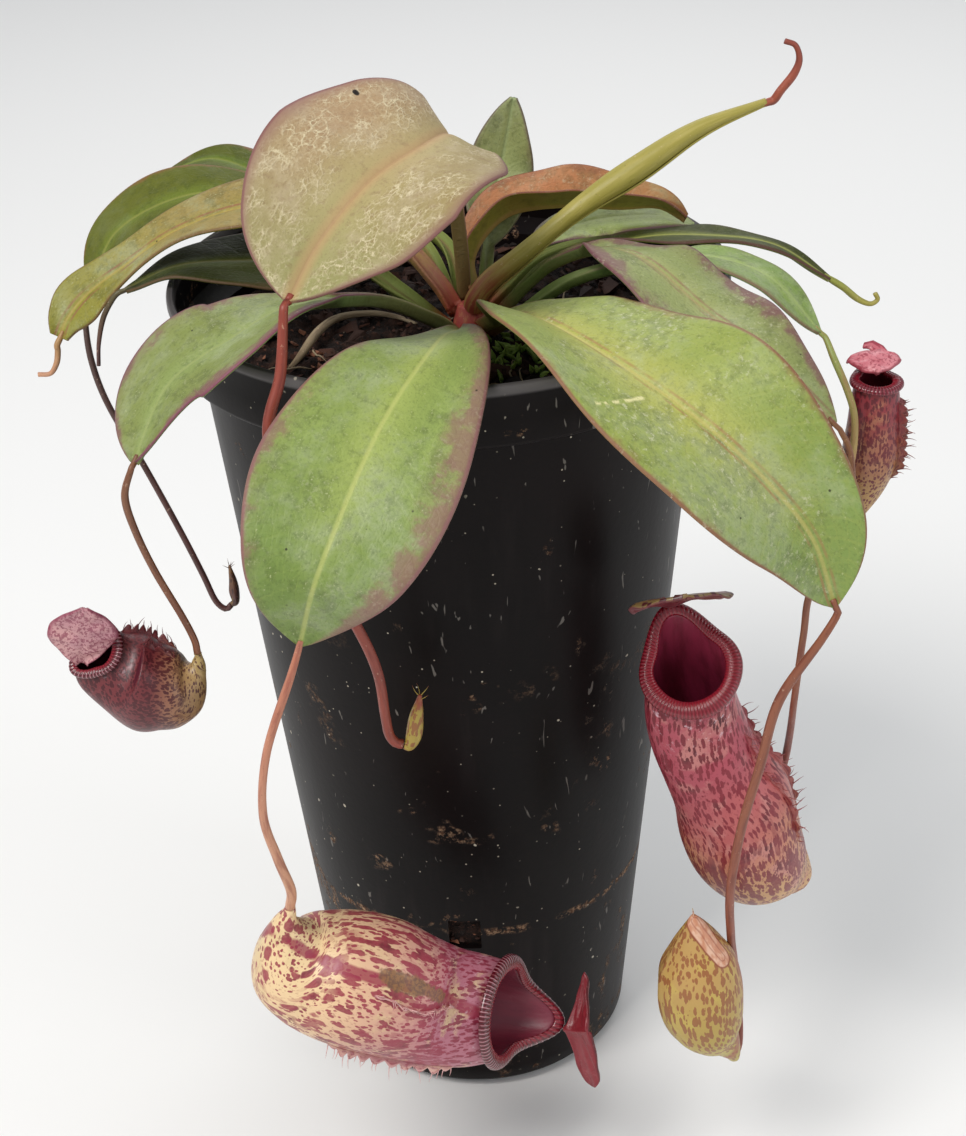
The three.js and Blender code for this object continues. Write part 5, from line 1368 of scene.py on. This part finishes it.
# Each lip: its deep red, the colour of the painted highlight along its ribs, and how strongly the dark
# between the ribs and that painted highlight show.
LIP_LOOKS = {
    "pitcher_front": ("#5c0c1a", "#c08e96", 0.85),
    "pitcher_right": ("#7a1020", "#a84452", 0.5),
    "pitcher_far_right": ("#6a1020", "#a8505c", 0.6),
    "pitcher_left": ("#5c0c1a", "#c08e96", 0.85),
}
LID_LOOKS = {
    "pitcher_front": dict(tones="#741622 #87212b #4d0a14 #82202a"),
    "pitcher_right": dict(tones="#6d262e #7c3a36 #43121a #6f2a32", tip="#80693e"),
    "pitcher_far_right": dict(tones="#c0606c #d08088 #8f2036 #a03a48", dense=0.47, fine=1000),
    "pitcher_left": dict(tones="#c08890 #cf9c9c #84304a #b2707a", fine=1200),
}
CUP_SLOTS = {"pitcher_front": "pitcher_cream", "pitcher_right": "pitcher_magenta",
             "pitcher_far_right": "pitcher_tan", "pitcher_left": "pitcher_plum"}
# The two sizes of pitcher: the length of the wings' bristles, the count of the lip's ribs, the lid's finish.
LARGE, SMALL = (3.6, 84, "pitcher_lid"), (3.0, 46, "pitcher_pink_lid")
for number, (name, pitcher) in enumerate(PITCHERS.items()):
    pitcher["course"] = pitcher_course(pitcher)
    bristle, ribs, lid_slot = LARGE if pitcher["lip"] > 2 else SMALL
    draw = np.random.default_rng(number + 5)
    shape = cup_shape(pitcher, number + 1)
    for bearing in pitcher["wings"]["bearings"]:
        wing(shape, pitcher, bearing, draw, bristle)
    piece(name + "_body", shape, cup_look(name + "_skin", **CUP_LOOKS[name]), name + "_cup", CUP_SLOTS[name])
    skin = lip_look(name + "_lip_skin", *LIP_LOOKS[name])
    piece(name + "_rim", lip_shape(pitcher, ribs), skin, name + "_lip", "pitcher_lip")
    skin = lid_look(name + "_lid_skin", **LID_LOOKS[name])
    piece(name + "_cover", leaf_shape(pitcher["lid"], number + 31, 48, 33), skin, name + "_lid", lid_slot)


def pod_shape(pod, seed, large):
    """An unopened pitcher: a swollen pod with two ridges and a sealed lid."""
    course = pitcher_course(pod)
    girth = smooth_course(pod["radii"], course.raw(np.linspace(0, 1, 91)))

    def ridges(t, angle):
        ridge = np.exp(-((np.abs(np.angle(np.exp(1j * (angle - 0.4)))) - 0.3) / 0.09) ** 2)
        ends = ease(t * 4) * ease((1 - t) * 4)
        return 1 + 0.03 * np.sin(2 * angle + seed) + (0.05 if large else 0.04) * ridge * ends

    shape = tube(course, girth, 90, 64, dimple=ridges, seed=seed)
    draw = np.random.default_rng(int(seed * 2) + 3)
    tip, ahead = end_of(course)
    if large:
        hair(shape, tip, ahead + np.array([0.1, 0, 0.4]), 3.2, 0.3, draw, 0.25)
    else:
        for _ in range(5):
            root = tip - ahead * draw.uniform(0.3, 2.5)
            hair(shape, root, ahead + draw.normal(size=3) * 0.5, draw.uniform(2, 4.5), 0.16, draw)
    return shape


# Lines on the large pod: its sealed lid flap, and a seam lower down.
FLAP = [(61, -98, 109), (62.6, -98.4, 106), (65.7, -100.1, 101.7), (68.6, -100.8, 97.4)]
SEAM = [(73.5, -97, 92), (75.6, -96.6, 78), (75, -95.8, 60), (72.5, -95, 54)]


def pod_look(name, low, high, streak, cap, large):
    """A dashed pod that changes colour upwards; the large one has a flap and a seam, the others a cap."""
    look = Look(name)
    flow, share = look.flow(), look.stored("share")
    cloud, fine = look.noise(flow, 130, 4, 0.6), look.noise(flow, 900, 3, 0.6)
    colour = look.blend(low, high, (share + look.noise(flow, 60, 3) * 0.3 - 0.15).over(0.2, 0.8))
    fineness = 820 if large else 1100
    where = look.scaled(bent(look, flow, 900, 0.0006), 0.32, 1, 1)
    marks = (look.cells(where, fineness) - look.noise(flow, 260, 2) * 0.9).over(0.06, -0.02)
    colour = colour.coat(streak, marks * 0.8)
    colour = colour.coat("#c8b452", cloud.over(0.5, 0.66) * (1.0 - marks) * 0.45)
    if large:
        away = near_line(look, FLAP)
        pale = look.blend(cap, "#e0b59a", look.noise(look.scaled(flow, 0.2, 1, 1), 700, 3).over(0.4, 0.66))
        colour = colour.coat("#8a4026", away.over(0.0034, 0.0028))
        colour = colour.coat(pale, away.over(0.0029, 0.0024))
        colour = colour.coat("#96462c", (away - 0.001).size().over(0.0003, 0.0001) * 0.5)
        seam = near_line(look, SEAM)
        colour = colour.coat("#9a4a2e", (seam + (cloud - 0.5) * 0.002).over(0.0032, 0.001) * 0.8)
    else:
        colour = colour.coat(cap, (share + look.noise(flow, 200, 2) * 0.1).over(0.78, 0.95) * 0.85)
    height = cloud + marks * 0.3 + fine * 0.2
    return look.done(colour, 0.36 + fine * 0.14, height, 0.35, 0.0006, Coat_Weight=0.12)


# Each pod's colours low, high, in dashes and on its cap, and its finish.
POD_LOOKS = {
    "young_pitcher_right": ("#b09c3c", "#bd9656", "#8f4c2a", "#c98a6a", "pitcher_mustard"),
    "young_pitcher_front": ("#a8903c", "#a8903c", "#8a4a2c", "#8f3a2c", "pitcher_mustard"),
    "young_pitcher_left": ("#5d3a36", "#6d4a30", "#3d2420", "#7d5a38", "tendril_dark"),
}
for number, (name, pod) in enumerate(PODS.items()):
    *tones, slot = POD_LOOKS[name]
    large = name == "young_pitcher_right"
    skin = pod_look(name + "_skin", *tones, large)
    piece(name + "_pod", pod_shape(pod, number + 0.5, large), skin, name, slot)


# ------------------------------------------------------------------ stage, light and camera
FLOOR_REACH = 6.0  # metres each way
WORLD_TINT, WORLD_STRENGTH = (0.93, 0.96, 1.0, 1.0), 0.5
# Each light: its place, what it faces, its sides, all in metres, its power and its tint.
LIGHTS = {
    "key_light": ((-0.7, -0.7, 1.5), (0, 0, 0.2), (0.7, 0.7), 19, (1.0, 0.98, 0.95)),
    "fill_light": ((1.2, -0.6, 0.7), (0, 0, 0.15), (0.5, 1.2), 3.5, (0.95, 0.98, 1.0)),
    "back_light": ((0.3, 1.2, 1.2), (0, 0, 0.25), (1.2, 0.6), 6, (1, 1, 1)),
}
# The camera, as fitted to the photograph's pot: focal length and frame height in its pixels, place in
# metres, and how far it looks down, aside and rolls, in radians.
FOCAL, FRAME, SENSOR = 2000, 1136, 36
CAMERA_PLACE, PITCH, YAW, ROLL = (0, -0.534, 0.4855), 0.5326, 0.0118, -0.0422


def stage_floor():
    """A plain pale floor under the pot."""
    mesh = bpy.data.meshes.new("floor")
    r = FLOOR_REACH
    mesh.from_pydata([(-r, -r, 0), (r, -r, 0), (r, r, 0), (-r, r, 0)], [], [(0, 1, 2, 3)])
    floor = bpy.data.objects.new("floor", mesh)
    mesh.materials.append(Look("pale_floor").done("#f4f3f1", 0.7))
    bpy.context.scene.collection.objects.link(floor)


def softbox(name, where, target, size, power, colour):
    """A soft rectangular light that faces its target."""
    light = bpy.data.lights.new(name, "AREA")
    light.shape, light.size, light.size_y = "RECTANGLE", size[0], size[1]
    light.energy, light.color = power, colour
    lamp = bpy.data.objects.new(name, light)
    lamp.location = where
    lamp.rotation_euler = (Vector(target) - Vector(where)).to_track_quat("-Z", "Y").to_euler()
    bpy.context.scene.collection.objects.link(lamp)


def set_camera():
    """The photo's viewpoint: half a metre off, looking 30 degrees down."""
    level = math.cos(PITCH)
    forward = Vector((math.sin(YAW) * level, math.cos(YAW) * level, -math.sin(PITCH)))
    right = Vector((math.cos(YAW), -math.sin(YAW), 0))
    up = right.cross(forward)
    right, up = math.cos(ROLL) * right + math.sin(ROLL) * up, math.cos(ROLL) * up - math.sin(ROLL) * right
    lens = bpy.data.cameras.new("camera")
    lens.sensor_width, lens.sensor_fit, lens.lens = SENSOR, "AUTO", SENSOR * FOCAL / FRAME
    lens.clip_start, lens.clip_end = 0.01, 50
    camera = bpy.data.objects.new("camera", lens)
    turn = Matrix((right, up, -forward)).transposed().to_4x4()
    camera.matrix_world = Matrix.Translation(CAMERA_PLACE) @ turn
    bpy.context.scene.collection.objects.link(camera)
    bpy.context.scene.camera = camera


stage_floor()
world = bpy.data.worlds.new("studio")
world.use_nodes = True
background = world.node_tree.nodes["Background"]
background.inputs["Color"].default_value = WORLD_TINT
background.inputs["Strength"].default_value = WORLD_STRENGTH
bpy.context.scene.world = world
for name, light in LIGHTS.items():
    softbox(name, *light)
bpy.context.scene.view_settings.view_transform = "Standard"
set_camera()
